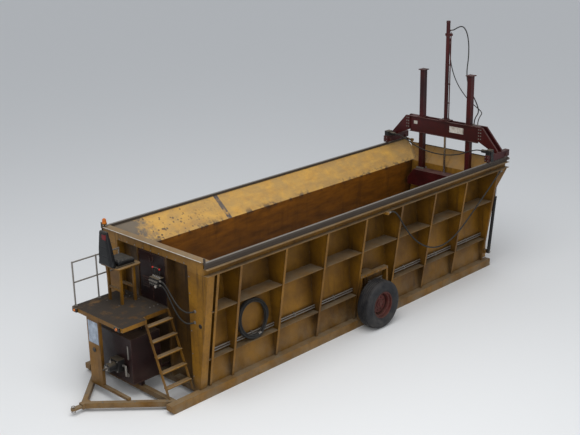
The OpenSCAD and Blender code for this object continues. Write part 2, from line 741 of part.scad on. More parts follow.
// Points as [x in front of the columns, distance left of the valve bank, height above the deck]
front_hose_shapes = [
    [[110, 0.3, 570], [110, 60, 570], [112, 135, 552], [115, 210, 505], [119, 300, 425], [124, 410, 320],
        [130, 530, 225], [136, 660, 165], [140, 800, 147], [130, 850, 148], [102, 892, 149],
        [60, 920, 150], [10, 930, 150], [0.3, 930, 150]],
    [[110, 0.3, 480], [110, 60, 480], [112, 130, 458], [115, 205, 400], [119, 290, 300], [124, 400, 158],
        [130, 520, 28], [136, 650, -58], [140, 780, -90], [130, 830, -91], [102, 872, -91],
        [60, 900, -90], [10, 910, -90], [0.3, 910, -90]]];
front_hose_routes = [for (shape = front_hose_shapes) [for (p = shape)
    [front_x + p[0], bank_y + bank_w + p[1], deck_z + p[2]]]];
module mast_hose() {
    color(black) from_rear() hose_tube(smooth(mast_hose_route, 2), mast_hose_r, hose_sides);
}
module return_hose() {
    color(black) from_rear() hose_tube(smooth(return_hose_route, 2), return_hose_r, hose_sides);
}
module drive_hose() {
    x = axle_offsets[1] - truck_rear;
    out = truck_inner - drive_motor_len;
    z = truck_top_z + drive_box_h / 2;
    last = len(drive_hose_half) - 1;
    route = concat([for (p = drive_hose_half) [x, -p[0] * out, z - p[1]]],
        [for (i = [last : -1 : 0]) [x, drive_hose_half[i][0] * out, z - drive_hose_half[i][1]]]);
    color(black) from_rear() hose_tube(smooth(route, 2), mast_hose_r, hose_sides);
}
module side_hose() {
    color(black) from_rear() hose_tube(smooth(side_hose_route, 2), side_hose_r, hose_sides);
}
module front_hoses() {
    color(black) from_rear() for (route = front_hose_routes) hose_tube(route, thin_hose_r, hose_sides);
}

// A coil of thicker hose stands on the lower shelf and leans on the wall
coil_mean_r = 390;
coil_hose_r = 22;
coil_layers = 2;
module hose_coil() {
    coil_x = rib_x(bays - 1) + rib_pitch / 2 - 20;
    low_z = shelf_low_z + plate + seat_fit;
    low_y = pipe_y + pipe_r + 24;
    ring_w = 2 * coil_layers * coil_hose_r;
    height = 2 * coil_mean_r + ring_w;
    lean = atan((low_y - wall_y(low_z + height) - 4) / height);
    color(black) from_rear() translate([coil_x, low_y, low_z]) rotate([lean, 0, 0])
        translate([0, ring_w, height / 2]) rotate([90, 0, 0]) rotate_extrude($fn = 72)
            translate([coil_mean_r - ring_w / 2, 0]) square([ring_w, ring_w]);
}

module side_pipes() {
    color(worn_steel) from_rear() both_sides() pipe_runs(pipe_r, -post_front, column_x + post_front);
}

// Wheels

wheel_post_w = 90;
frame_inner = skid_half - 55;
spindle_start = skid_half - 25;
hub_outer = tyre_inner + 0.72 * tyre_w;
module wheel_frames() {
    arch_rear = 610;
    arch_front_x = rib_x(ceil(axle_x / rib_pitch)) - rib_flange / 2;
    arch_top_z = 1270;
    leg = 60;
    outer = tyre_inner - 15;
    lintel_z = arch_top_z - leg;
    lintel_half = 160;
    post_outer = frame_inner - 47;
    carrier_half = 110;
    ram_r = 32;
    ram_h = 260;
    spindle_end = hub_outer - 30;
    color(ochre) from_rear() both_sides() {
        for (x = [axle_x - arch_rear, arch_front_x - leg])
            box_at(x, frame_inner, skid_h, [leg, outer - frame_inner, arch_top_z - skid_h]);
        box_at(axle_x - arch_rear, frame_inner, lintel_z,
            [arch_front_x - axle_x + arch_rear, outer - frame_inner, leg]);
        along_x(axle_x - lintel_half, 2 * lintel_half)
            polygon([[wall_y(lintel_z), lintel_z], [frame_inner, lintel_z],
                [frame_inner, arch_top_z], [wall_y(arch_top_z), arch_top_z]]);
        difference() {
            along_x(axle_x - wheel_post_w / 2, wheel_post_w)
                polygon([[wall_y(skid_h), skid_h], [post_outer, skid_h], [post_outer, lintel_z],
                    [wall_y(lintel_z), lintel_z]]);
            pipe_runs(pipe_r + seat_fit, axle_x - wheel_post_w, 2 * wheel_post_w);
        }
        box_at(axle_x - carrier_half, post_outer - leg, tyre_r - carrier_half,
            [2 * carrier_half, spindle_start - post_outer + leg, 2 * carrier_half]);
        translate([axle_x, frame_inner, tyre_r + carrier_half]) {
            cylinder(r = ram_r, h = ram_h, $fn = 40);
            cylinder(r = ram_r / 2, h = lintel_z - tyre_r - carrier_half, $fn = 32);
        }
        bar_y(axle_x, spindle_start, tyre_r, spindle_r, spindle_end - spindle_start);
    }
}

bead = 60;
module tyre() {
    shoulder = 70;
    crown_drop = 45;
    crown_in = 20;
    bulge_r = tyre_r - 150;
    rim_cover = 14;
    groove_w = 16;
    groove_d = 12;
    grooves = 4;
    tread_w = tyre_w - 2 * shoulder;
    groove_line = [for (k = [1 : grooves]) let (y = shoulder + k * tread_w / (grooves + 1))
        each [[tyre_r, y - groove_w / 2], [tyre_r - groove_d, y - groove_w / 3],
            [tyre_r - groove_d, y + groove_w / 3], [tyre_r, y + groove_w / 2]]];
    from_rear() translate([axle_x, tyre_inner, tyre_r]) rotate([-90, 0, 0]) rotate_extrude($fn = 72)
        polygon(concat([[rim_r, bead], [rim_r + bead, rim_cover], [bulge_r, 0],
            [tyre_r - crown_drop, crown_in], [tyre_r, shoulder]], groove_line,
            [[tyre_r, tyre_w - shoulder], [tyre_r - crown_drop, tyre_w - crown_in],
            [bulge_r, tyre_w], [rim_r + bead, tyre_w - rim_cover], [rim_r, tyre_w - bead]]));
}
module tyre_left() { color(black) tyre(); }
module tyre_right() { color(black) right_side() tyre(); }

module rim() {
    wall = 12;
    disc_y = 0.58 * tyre_w;
    hub_r = 95;
    cap_t = 24;
    hub_in = spindle_start + 8 - tyre_inner;
    hub_out = hub_outer - tyre_inner;
    nuts = 8;
    nut_r = 19;
    nut_h = 20;
    nut_ring_r = 150;
    from_rear() translate([axle_x, tyre_inner, tyre_r]) rotate([-90, 0, 0]) {
        rotate_extrude($fn = 72)
            polygon([[spindle_r + eps_fit, hub_in], [hub_r, hub_in], [hub_r, disc_y - wall],
                [rim_r - wall, disc_y - wall], [rim_r - wall, bead], [rim_r, bead],
                [rim_r, tyre_w - bead], [rim_r - wall, tyre_w - bead],
                [rim_r - wall, disc_y], [hub_r, disc_y], [hub_r, hub_out], [0, hub_out],
                [0, hub_out - cap_t], [spindle_r + eps_fit, hub_out - cap_t]]);
        for (k = [0 : nuts - 1])
            rotate([0, 0, (k + 0.5) * 360 / nuts]) translate([nut_ring_r, 0, disc_y - wall / 2])
                cylinder(r = nut_r, h = wall / 2 + nut_h, $fn = 6);
    }
}
module rim_left() { color(oxide_red) rim(); }
module rim_right() { color(oxide_red) right_side() rim(); }

// Tramper carriage

bridge_pad_t = 20;
web_gap = post_w / 2 + slide_gap;
module bridge() {
    web_t = 12;
    pad_half = 150;
    end_plate = 250;
    rod_clear = 8;
    collar_t = 30;
    collar_h = 12;
    color(oxide_red) from_rear() translate([-bridge_x, 0, 0]) difference() {
        union() {
            for (side = [0, 1]) mirror([side, 0, 0]) {
                box_at(web_gap, -bridge_half, bridge_low_z, [web_t, 2 * bridge_half, bridge_h]);
                for (z = [bridge_low_z, bridge_top_z - web_t])
                    box_at(web_gap, -bridge_half, z,
                        [bridge_depth / 2 - web_gap, 2 * bridge_half, web_t]);
            }
            both_sides() {
                for (y = [post_half - web_gap - web_t, post_half + web_gap])
                    box_at(-web_gap, y, bridge_low_z, [2 * web_gap, web_t, bridge_h]);
                box_at(-web_gap, bridge_half - end_plate, bridge_top_z - web_t,
                    [2 * web_gap, end_plate, web_t]);
            }
            box_at(-bridge_depth / 2, -pad_half, bridge_top_z, [bridge_depth, 2 * pad_half, bridge_pad_t]);
            both_sides() translate([0, post_half, bridge_top_z - web_t]) linear_extrude(web_t + collar_h)
                difference() {
                    square(2 * (web_gap + collar_t), center = true);
                    square(2 * web_gap, center = true);
                }
        }
        translate([0, 0, bridge_low_z]) cylinder(r = ram_rod_r + rod_clear, h = 2 * bridge_h, $fn = 48);
    }
}

truck_outer = track_half + 55;
truck_inner = track_half - 70;
truck_clear = 25;
truck_h = 165;
truck_low_z = track_z + truck_clear;
truck_top_z = truck_low_z + truck_h;
axle_inset = 130;
axle_offsets = [axle_inset, truck_len - axle_inset];
roller_pin_r = 15;
module end_frame() {
    wall_t = 12;
    leg_t = 50;
    leg_foot = 60;
    leg_head = 130;
    leg_in = bridge_half;
    from_rear() {
        translate([-truck_rear, 0, 0]) difference() {
            union() {
                for (y = [truck_inner, truck_outer - wall_t])
                    box_at(0, y, truck_low_z, [truck_len, wall_t, truck_top_z - truck_low_z]);
                box_at(0, truck_inner, truck_top_z - wall_t, [truck_len, truck_outer - truck_inner, wall_t]);
            }
            for (x = axle_offsets)
                bar_y(x, truck_inner - 5, track_z + roller_r, roller_pin_r + eps_fit,
                    truck_outer - truck_inner + 10);
        }
        for (x = [-bridge_x - bridge_depth / 2, -bridge_x + bridge_depth / 2 - leg_t])
            along_x(x, leg_t)
                polygon([[truck_inner, truck_top_z], [truck_outer, truck_top_z],
                    [truck_outer, truck_top_z + leg_foot], [leg_in + leg_head, bridge_top_z],
                    [leg_in, bridge_top_z], [leg_in, bridge_low_z + leg_foot]]);
    }
}
module end_frame_left() { color(oxide_red) end_frame(); }
module end_frame_right() { color(oxide_red) right_side() end_frame(); }

module rollers() {
    face_half = track_head_w / 2 + 4;
    flange_t = 10;
    flange_r = roller_r + 20;
    color(worn_steel) from_rear() both_sides() for (x = axle_offsets)
        translate([x - truck_rear, 0, 0]) {
            bar_y(0, track_half - face_half, track_z + roller_r, roller_r, 2 * face_half);
            bar_y(0, track_half - face_half - flange_t, track_z + roller_r, flange_r, flange_t);
            bar_y(0, truck_inner, track_z + roller_r, roller_pin_r, truck_outer - truck_inner);
        }
}

module drive_motors() {
    box_len = 180;
    motor_r = 45;
    color(black) from_rear() both_sides() translate([axle_offsets[1] - truck_rear, 0, truck_top_z]) {
        box_at(-box_len / 2, truck_inner, 0, [box_len, truck_outer - truck_inner, drive_box_h]);
        bar_y(0, truck_inner - drive_motor_len, drive_box_h / 2, motor_r, drive_motor_len);
    }
}

mast_base_z = bridge_top_z + bridge_pad_t;
mast_bore_r = 40;
mast_cap = 40;
gland_h = 60;
module mast_barrel() {
    clamp_drop = 380;
    clamp_z = mast_top_z - clamp_drop;
    clamp_h = 60;
    clamp_d = 80;
    clamp_inner = mast_r + 15;
    pipe_y = mast_r + 43;
    pipe_r = 14;
    pipe_foot = 12;
    pipe_over = 90;
    base_r = 110;
    base_h = 25;
    port_r = 26;
    elbow_r = 20;
    color(oxide_red) from_rear() translate([-bridge_x, 0, 0]) difference() {
        union() {
            translate([0, 0, mast_base_z]) cylinder(r = mast_r, h = mast_top_z - mast_base_z, $fn = 48);
            translate([0, 0, mast_base_z]) cylinder(r = base_r, h = base_h, $fn = 48);
            box_at(-clamp_d / 2, -clamp_inner, clamp_z, [clamp_d, clamp_inner + pipe_y + 25, clamp_h]);
            translate([0, pipe_y, mast_base_z + pipe_foot])
                cylinder(r = pipe_r, h = clamp_z + pipe_over - mast_base_z - pipe_foot, $fn = 24);
            translate([0, 0, mast_port_z]) rotate([0, -90, 0])
                cylinder(r = port_r, h = -bridge_x - mast_port_x, $fn = 32);
            translate([0, 0, mast_elbow_z]) rotate([0, -90, 0])
                cylinder(r = elbow_r, h = mast_elbow_x, $fn = 32);
            translate([-mast_elbow_x, 0, mast_elbow_z]) sphere(r = elbow_r, $fn = 32);
            translate([-mast_elbow_x, 0, mast_elbow_z - mast_elbow_len])
                cylinder(r = elbow_r, h = mast_elbow_len, $fn = 32);
        }
        translate([0, 0, mast_base_z + gland_h])
            cylinder(r = mast_bore_r, h = mast_top_z - mast_cap - mast_base_z - gland_h, $fn = 48);
        translate([0, 0, mast_base_z - 1]) cylinder(r = ram_rod_r + eps_fit, h = gland_h + 2, $fn = 48);
    }
}

foot_top_z = foot_z + foot_h;
foot_half = 1050;
module guide_posts() {
    cap = 200;
    cap_t = 22;
    color(oxide_red) from_rear() both_sides() translate([-bridge_x, post_half, 0]) {
        box_at(-post_w / 2, -post_w / 2, foot_top_z, [post_w, post_w, post_top_z - cap_t - foot_top_z]);
        box_at(-cap / 2, -cap / 2, post_top_z - cap_t, [cap, cap, cap_t]);
    }
}
module foot() {
    front = 240;
    rear = post_w / 2;
    side_h = 180;
    slope = 200;
    color(oxide_red) from_rear() along_x(-bridge_x - rear, front + rear)
        polygon([[-foot_half, foot_z], [foot_half, foot_z], [foot_half, foot_z + side_h],
            [foot_half - slope, foot_top_z], [-foot_half + slope, foot_top_z],
            [-foot_half, foot_z + side_h]]);
}
ram_piston_rise = 1320;
ram_piston_low = mast_base_z + ram_piston_rise;
module ram_rod() {
    piston_h = 80;
    color(worn_steel) from_rear() translate([-bridge_x, 0, 0]) {
        translate([0, 0, foot_top_z]) cylinder(r = ram_rod_r, h = ram_piston_low - foot_top_z, $fn = 48);
        translate([0, 0, ram_piston_low]) cylinder(r = mast_bore_r - eps_fit, h = piston_h, $fn = 48);
    }
}

// Tailgate

gate_in_x = wall_rear_x - gate_gap;
gate_out_x = gate_in_x - gate_depth;
gate_eye_x = -400;
gate_eye_drop = 200;
gate_eye_z = knuckle_z - gate_eye_drop;
gate_top_z = knuckle_z - 10;
module tailgate() {
    wide_z = skid_h + 25;
    low_half = chamber_half_bottom + sheet - 50;
    tube_w = 80;
    tube_d = gate_depth - sheet;
    cross_tubes = 5;
    cross_pitch = (gate_top_z - tube_w - wide_z) / (cross_tubes - 1);
    upright_pitch = (2 * gate_half - tube_w) / 4;
    flap_low_half = chamber_half_top - 40;
    flap_run = [hinge_x + 10 - gate_in_x, hinge_z - 10 - gate_top_z];
    flap_len = norm(flap_run) - hinge_r - 15;
    flap_high_half = ear_y + 75;
    flap_bend = norm(flap_run) - (hinge_z - knuckle_z);
    slope = atan2(-flap_run[0], flap_run[1]);
    arm_y = gate_half - 15;
    arm_t = 15;
    arm_root = 150;
    arm_tip = 30;
    arm_end_x = gate_eye_x - 50;
    ear_foot = 75;
    color(ochre) from_rear() {
        along_x(gate_in_x - sheet, sheet) polygon([[-low_half, gate_low_z], [low_half, gate_low_z],
            [low_half, wide_z], [gate_half, wide_z], [gate_half, gate_top_z],
            [-gate_half, gate_top_z], [-gate_half, wide_z], [-low_half, wide_z]]);
        for (k = [0 : cross_tubes - 1])
            box_at(gate_out_x, -gate_half, wide_z + k * cross_pitch, [tube_d, 2 * gate_half, tube_w]);
        for (k = [0 : 4])
            box_at(gate_out_x, -gate_half + k * upright_pitch, wide_z, [tube_d, tube_w, gate_top_z - wide_z]);
        translate([gate_in_x, 0, gate_top_z - 2]) rotate([0, -slope, 0]) along_x(-sheet, sheet)
            polygon([[-flap_low_half, 0], [flap_low_half, 0], [flap_low_half, flap_bend],
                [flap_high_half, flap_len], [-flap_high_half, flap_len], [-flap_low_half, flap_bend]]);
        both_sides() {
            along_y(ear_y, ear_w) translate([hinge_x, hinge_z]) difference() {
                union() {
                    circle(r = hinge_lug, $fn = 40);
                    polygon([[-0.75 * hinge_lug, -0.6 * hinge_lug], [ear_foot - 15, -ear_foot],
                        [ear_foot, -ear_foot + 15], [hinge_lug / 4, 0]]);
                }
                circle(r = hinge_r + eps_fit, $fn = 48);
            }
            along_y(arm_y, arm_t) polygon([[gate_out_x, gate_eye_z - arm_root],
                [gate_out_x, gate_eye_z + arm_root], [arm_end_x, gate_eye_z + arm_tip],
                [arm_end_x, gate_eye_z - arm_tip]]);
            bar_y(gate_eye_x, arm_y, gate_eye_z, gate_pin_r + 8, gate_cyl_y - 30 - arm_y);
        }
    }
}

gate_run = norm([gate_eye_x - gate_base_x, gate_eye_z - gate_base_z]);
gate_lean = atan2(gate_base_x - gate_eye_x, gate_eye_z - gate_base_z);
gate_bore_r = 30;
gate_barrel_len = 1500;
gate_piston_at = 760;
// Turns a cylinder drawn up from the origin onto its line from base pin to rod eye
module on_gate_line() {
    from_rear() translate([gate_base_x, gate_cyl_y, gate_base_z]) rotate([0, -gate_lean, 0]) children();
}
module gate_barrel() {
    gland = 40;
    foot = 20;
    bore_foot = 70;
    eye_r = 44;
    eye_half = 26;
    on_gate_line() difference() {
        union() {
            translate([0, 0, foot]) cylinder(r = gate_barrel_r, h = gate_barrel_len - foot, $fn = 40);
            bar_y(0, -eye_half, 0, eye_r, 2 * eye_half);
        }
        translate([0, 0, bore_foot])
            cylinder(r = gate_bore_r, h = gate_barrel_len - gland - bore_foot, $fn = 40);
        translate([0, 0, gate_barrel_len - gland - 1])
            cylinder(r = gate_rod_r + eps_fit, h = gland + 2, $fn = 40);
        bar_y(0, -eye_half - 4, 0, gate_pin_r + eps_fit, 2 * eye_half + 8);
    }
}
module gate_rod() {
    eye_r = 42;
    eye_w = 50;
    piston_h = 60;
    on_gate_line() {
        translate([0, 0, gate_piston_at]) {
            cylinder(r = gate_bore_r - eps_fit, h = piston_h, $fn = 40);
            cylinder(r = gate_rod_r, h = gate_run - gate_piston_at - eye_r / 2, $fn = 40);
        }
        bar_y(0, -eye_w / 2, gate_run, eye_r, eye_w);
    }
}
module gate_barrel_left() { color(black) gate_barrel(); }
module gate_barrel_right() { color(black) right_side() gate_barrel(); }
module gate_rod_left() { color(worn_steel) gate_rod(); }
module gate_rod_right() { color(worn_steel) right_side() gate_rod(); }

skids();
side_wall_left();
side_wall_right();
ribs();
shelves();
top_rails();
tracks();
front_wall();
front_columns();
front_band();
rear_posts();
cross_member();
tongue_left();
tongue_right();
hitch();
deck();
deck_post();
ladder();
handrail();
seat_pedestal();
seat();
levers();
reservoir();
pump();
valve_box();
front_hoses();
side_pipes();
wheel_frames();
hose_coil();
side_hose();
tyre_left();
rim_left();
tyre_right();
rim_right();
bridge();
end_frame_left();
end_frame_right();
rollers();
drive_motors();
mast_barrel();
mast_hose();
return_hose();
drive_hose();
guide_posts();
foot();
ram_rod();
tailgate();
gate_barrel_left();
gate_barrel_right();
gate_rod_left();
gate_rod_right();
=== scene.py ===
import math
from itertools import product

import bmesh
import bpy
from mathutils import Matrix, Vector


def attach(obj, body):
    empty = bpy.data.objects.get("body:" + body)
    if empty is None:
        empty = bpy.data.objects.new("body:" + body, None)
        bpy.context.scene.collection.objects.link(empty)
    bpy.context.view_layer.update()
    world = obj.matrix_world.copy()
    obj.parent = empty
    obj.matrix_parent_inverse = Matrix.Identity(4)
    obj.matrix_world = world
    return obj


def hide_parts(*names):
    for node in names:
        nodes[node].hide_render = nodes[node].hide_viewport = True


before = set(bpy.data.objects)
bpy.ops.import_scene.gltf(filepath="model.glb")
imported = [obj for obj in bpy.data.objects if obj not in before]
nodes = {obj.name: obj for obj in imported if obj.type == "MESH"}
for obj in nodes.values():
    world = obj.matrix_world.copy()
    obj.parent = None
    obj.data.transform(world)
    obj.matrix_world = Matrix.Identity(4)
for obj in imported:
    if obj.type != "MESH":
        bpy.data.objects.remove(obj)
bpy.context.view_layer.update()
scene = bpy.context.scene
print("frame loaded:", len(nodes), "nodes")


def paint(red, green, blue):  # an sRGB colour from 0 to 255 as Blender's linear one
    values = [c / 255 for c in (red, green, blue)]
    return tuple(c / 12.92 if c <= 0.04 else ((c + 0.055) / 1.055) ** 2.4 for c in values) + (1.0,)


# Shader building blocks: each finds its node tree from the sockets that it is given

def treeOf(*values):
    return next(value.id_data for value in values if isinstance(value, bpy.types.NodeSocket))


def addNode(tree, kind, inputs=None, **settings):
    made = tree.nodes.new("ShaderNode" + kind)
    for key, value in settings.items():
        setattr(made, key, value)
    for socket, value in (inputs or {}).items():
        if isinstance(value, bpy.types.NodeSocket):
            tree.links.new(value, made.inputs[socket])
        else:
            made.inputs[socket].default_value = value
    return made


def compute(operation, first, second=0.0, clamp=False):
    tree = treeOf(first, second)
    return addNode(tree, "Math", {0: first, 1: second}, operation=operation, use_clamp=clamp).outputs[0]


def times(first, second, clamp=False):
    return compute("MULTIPLY", first, second, clamp)


def plus(first, second, clamp=False):
    return compute("ADD", first, second, clamp)


def mixColour(factor, first, second):
    tree = treeOf(factor, first, second)
    return addNode(tree, "Mix", {0: factor, 6: first, 7: second}, data_type="RGBA").outputs[2]


def spread(value, low, high, toLow=0.0, toHigh=1.0):
    return addNode(value.id_data, "MapRange", {0: value, 1: low, 2: high, 3: toLow, 4: toHigh}).outputs[0]


def grainOf(vector, scale, detail, roughness, distortion=0.0):
    return addNode(vector.id_data, "TexNoise", {"Vector": vector, "Scale": scale, "Detail": detail,
                                                "Roughness": roughness, "Distortion": distortion}).outputs[0]


def stretched(vector, x, y, z):
    return addNode(vector.id_data, "Mapping", {"Vector": vector, "Scale": (x, y, z)}).outputs[0]


def axes(vector):
    return addNode(vector.id_data, "SeparateXYZ", {0: vector}).outputs


def normalOf(place):
    return addNode(place.id_data, "NewGeometry").outputs["Normal"]


# Effects that several finishes share

groups = {}


def newGroup(name, result, **inputs):
    group = bpy.data.node_groups.new(name, "ShaderNodeTree")
    for label, value in inputs.items():
        group.interface.new_socket(label, in_out="INPUT", socket_type="NodeSocketFloat").default_value = value
    group.interface.new_socket(result, in_out="OUTPUT", socket_type="NodeSocketFloat")
    groups[name] = group
    return group.nodes.new("NodeGroupInput").outputs, addNode(group, "TexCoord").outputs["Object"]


def closeGroup(result):
    result.id_data.links.new(result, result.id_data.nodes.new("NodeGroupOutput").inputs[0])


def makeEdgeWear():
    given, place = newGroup("edgeWear", "mask", width=0.012, amount=0.6, scale=14.0)
    rounded = addNode(place.id_data, "Bevel", {"Radius": given["width"]}, samples=5).outputs[0]
    turn = addNode(place.id_data, "VectorMath", {0: rounded, 1: normalOf(place)}, operation="DOT_PRODUCT")
    broken = spread(grainOf(place, given["scale"], 6.0, 0.7), 0.38, 0.62)
    closeGroup(times(times(spread(turn.outputs["Value"], 0.995, 0.9), broken), given["amount"]))


def makeDustCover():
    given, place = newGroup("dustCover", "mask", top=0.7, splash=0.5, height=0.7, scale=3.0)
    cloud = grainOf(place, given["scale"], 7.0, 0.62)
    lying = times(spread(axes(normalOf(place))[2], 0.35, 0.9), given["top"])
    lying = times(lying, spread(cloud, 0.3, 0.6, 0.35, 1.0))
    near = compute("DIVIDE", axes(place)[2], given["height"])
    mud = times(times(spread(near, 1.0, 0.0), given["splash"]), spread(cloud, 0.36, 0.66))
    fine = spread(grainOf(place, 60.0, 3.0, 0.6), 0.2, 0.55, 0.55, 1.0)
    closeGroup(times(compute("MAXIMUM", lying, mud), fine, True))


def makeRustSpots():
    given, place = newGroup("rustSpots", "mask", amount=0.3, scale=5.0)
    region = grainOf(place, times(given["scale"], 0.25), 3.0, 0.5)
    spots = grainOf(place, given["scale"], 9.0, 0.68, 0.4)
    level = plus(times(region, 0.45), times(spots, 0.7))
    edge = compute("SUBTRACT", 0.86, times(given["amount"], 0.4))
    closeGroup(spread(compute("SUBTRACT", level, edge), 0.0, 0.05))


def makeRainStreaks():
    given, place = newGroup("rainStreaks", "mask", amount=0.4, scale=9.0)
    long = spread(grainOf(stretched(place, 1.0, 1.0, 0.07), given["scale"], 5.0, 0.6), 0.52, 0.68)
    wide = spread(grainOf(place, 1.3, 2.0, 0.5), 0.35, 0.65)
    side = spread(compute("ABSOLUTE", axes(normalOf(place))[2]), 0.75, 0.35)
    closeGroup(times(times(times(long, wide), side), given["amount"], True))


def makeSurfaceGrain():
    given, place = newGroup("surfaceGrain", "height", fine=0.3, dents=0.5, fineScale=220.0)
    speck = times(grainOf(place, given["fineScale"], 3.0, 0.6), given["fine"])
    closeGroup(plus(speck, times(grainOf(place, 2.2, 2.0, 0.45), times(given["dents"], 8.0))))


# Ambient occlusion darkens corners, recesses and gaps between parts: painted shade, mixed with grime
def makeCornerShadeAndGrime():
    given, place = newGroup("cornerShadeAndGrime", "mask", reach=0.5, amount=0.6)
    openness = addNode(place.id_data, "AmbientOcclusion", {"Distance": given["reach"]}, samples=6)
    cloud = spread(grainOf(place, 4.0, 5.0, 0.6), 0.25, 0.6, 0.45, 1.0)
    closeGroup(times(times(spread(openness.outputs["AO"], 0.82, 0.3), cloud), given["amount"], True))


for make in (makeEdgeWear, makeDustCover, makeRustSpots, makeRainStreaks, makeSurfaceGrain, makeCornerShadeAndGrime):
    make()


def effect(place, name, **values):
    made = place.id_data.nodes.new("ShaderNodeGroup")
    made.node_tree = groups[name]
    for label, value in values.items():
        made.inputs[label].default_value = value
    return made.outputs[0]


materials = {}
earth = {"dust": paint(128, 114, 92), "rust": paint(62, 32, 18), "grime": paint(26, 18, 12)}


def newMaterial(name, viewport):
    material = bpy.data.materials.new(name)
    material.use_nodes = True
    material.diffuse_color = viewport
    materials[name] = material
    shader = material.node_tree.nodes["Principled BSDF"]
    shader.inputs["Specular IOR Level"].default_value = 0.3
    return shader


def placeOf(shader):
    return addNode(shader.id_data, "TexCoord").outputs["Object"]


def finishShader(shader, colour, roughness, height, strength, distance):
    bump = addNode(shader.id_data, "Bump", {"Height": height, "Strength": strength, "Distance": distance})
    for socket, value in (("Base Color", colour), ("Roughness", roughness), ("Normal", bump.outputs[0])):
        shader.id_data.links.new(value, shader.inputs[socket])


# Weathered paint

def treadPlate(place):  # raised bars in two directions, on upward faces only
    x, y, z = axes(place)
    forward = compute("SINE", times(plus(x, y), 130.0))
    backward = compute("SINE", times(compute("SUBTRACT", x, y), 130.0))
    one = times(spread(forward, 0.55, 0.8), spread(backward, -0.2, 0.1))
    two = times(spread(backward, -0.55, -0.8), spread(forward, 0.2, -0.1))
    return times(compute("MAXIMUM", one, two), spread(axes(normalOf(place))[2], 0.9, 0.95))


def patched(place, look):  # two shades of one paint in broad patches
    patches = grainOf(place, 1.1, 6.0, 0.62)
    return mixColour(spread(patches, 0.34, 0.66), look["colour"], look["shade"])


def weather(shader, place, colour, look):
    streaks = effect(place, "rainStreaks", amount=look["streaks"], scale=9.0)
    colour = mixColour(streaks, colour, earth["grime"])
    # painted shade with grime in corners and recesses, from ambient occlusion
    corner = effect(place, "cornerShadeAndGrime", reach=look["reach"], amount=look["corners"])
    colour = mixColour(corner, colour, look["cornerShadeColour"])
    rust = effect(place, "rustSpots", amount=look["rust"], scale=6.0)
    rusty = mixColour(grainOf(place, 35.0, 5.0, 0.7), earth["rust"], paint(96, 54, 28))
    colour = mixColour(rust, colour, rusty)
    wear = effect(place, "edgeWear", width=0.012, amount=look["wear"], scale=11.0)
    colour = mixColour(wear, colour, look["bare"])
    dust = effect(place, "dustCover", top=look["dustTop"], splash=look["splash"], height=look["splashHeight"],
                  scale=look["dustScale"])
    colour = mixColour(dust, colour, look["dust"])
    matt = compute("MAXIMUM", compute("MAXIMUM", rust, dust), times(streaks, 0.5))
    sheen = spread(grainOf(place, 5.0, 4.0, 0.6), 0.3, 0.7, look["rough"] - 0.07, look["rough"] + 0.08)
    height = plus(effect(place, "surfaceGrain", fine=0.25, dents=look["dents"]), times(rust, 0.35))
    if "tread" in look:
        height = plus(height, times(treadPlate(place), look["tread"]))
    finishShader(shader, colour, plus(sheen, times(matt, 0.3), True), height, 0.35, 0.004)


def weatheredPaint(name, look):
    shader = newMaterial(name, look["colour"])
    place = placeOf(shader)
    mottled = spread(grainOf(place, 18.0, 5.0, 0.65), 0.45, 0.75, 0.0, 0.5)
    weather(shader, place, mixColour(mottled, patched(place, look), look["shade"]), look)


ochreLook = {"colour": paint(138, 95, 16), "shade": paint(92, 60, 10), "streaks": 0.65, "rust": 0.25,
             "wear": 0.8, "bare": paint(66, 48, 34), "dust": earth["dust"], "dustTop": 0.8, "dustScale": 3.0,
             "splash": 0.6, "splashHeight": 0.7, "rough": 0.5, "dents": 0.6, "reach": 0.5, "corners": 0.75,
             "cornerShadeColour": paint(30, 20, 10)}
redLook = dict(ochreLook, colour=paint(70, 11, 11), shade=paint(38, 6, 7), streaks=0.3, rust=0.15,
               dustTop=0.5, splash=0.2, rough=0.45, bare=paint(104, 74, 64), dents=0.3, corners=0.4,
               cornerShadeColour=paint(14, 6, 6), dust=paint(118, 92, 84))
paintLooks = {
    "ochrePaint": ochreLook,
    "tanPaint": dict(ochreLook, colour=paint(144, 102, 34), shade=paint(104, 72, 24), splash=0.75,
                     splashHeight=0.35, corners=0.5),
    "redPaint": redLook,
    "tankPaint": dict(redLook, colour=paint(38, 13, 12), shade=paint(22, 9, 9), dustTop=0.75, splash=0.5,
                      dust=paint(92, 76, 62)),
    "deckPaint": dict(ochreLook, dustTop=1.6, dust=paint(52, 44, 36), dustScale=5.0, wear=0.9, tread=0.5),
    "gatePaint": dict(ochreLook, colour=paint(172, 124, 40), shade=paint(132, 92, 28), streaks=0.75),
    # the front wall's ochre is darkened as painted shade, with heavier streaks and rust
    "shadedGrimyWallPaint": dict(ochreLook, colour=paint(96, 65, 15), shade=paint(56, 36, 9), streaks=0.9, rust=0.35),
    "blackPaint": dict(ochreLook, colour=paint(28, 27, 28), shade=paint(15, 15, 16), streaks=0.15, rust=0.12,
                       dustTop=0.6, splash=0.4, rough=0.45, bare=paint(84, 78, 72), dents=0.2, corners=0.3),
    "rimPaint": dict(ochreLook, colour=paint(92, 34, 30), shade=paint(60, 21, 20), streaks=0.1, rust=0.3,
                     dustTop=0.4, splash=0.5, splashHeight=1.0, rough=0.55, dust=paint(118, 92, 76),
                     dents=0.15, reach=0.12, corners=0.8, cornerShadeColour=paint(26, 14, 12)),
}
for name, look in paintLooks.items():
    weatheredPaint(name, look)


# Steel and rubber

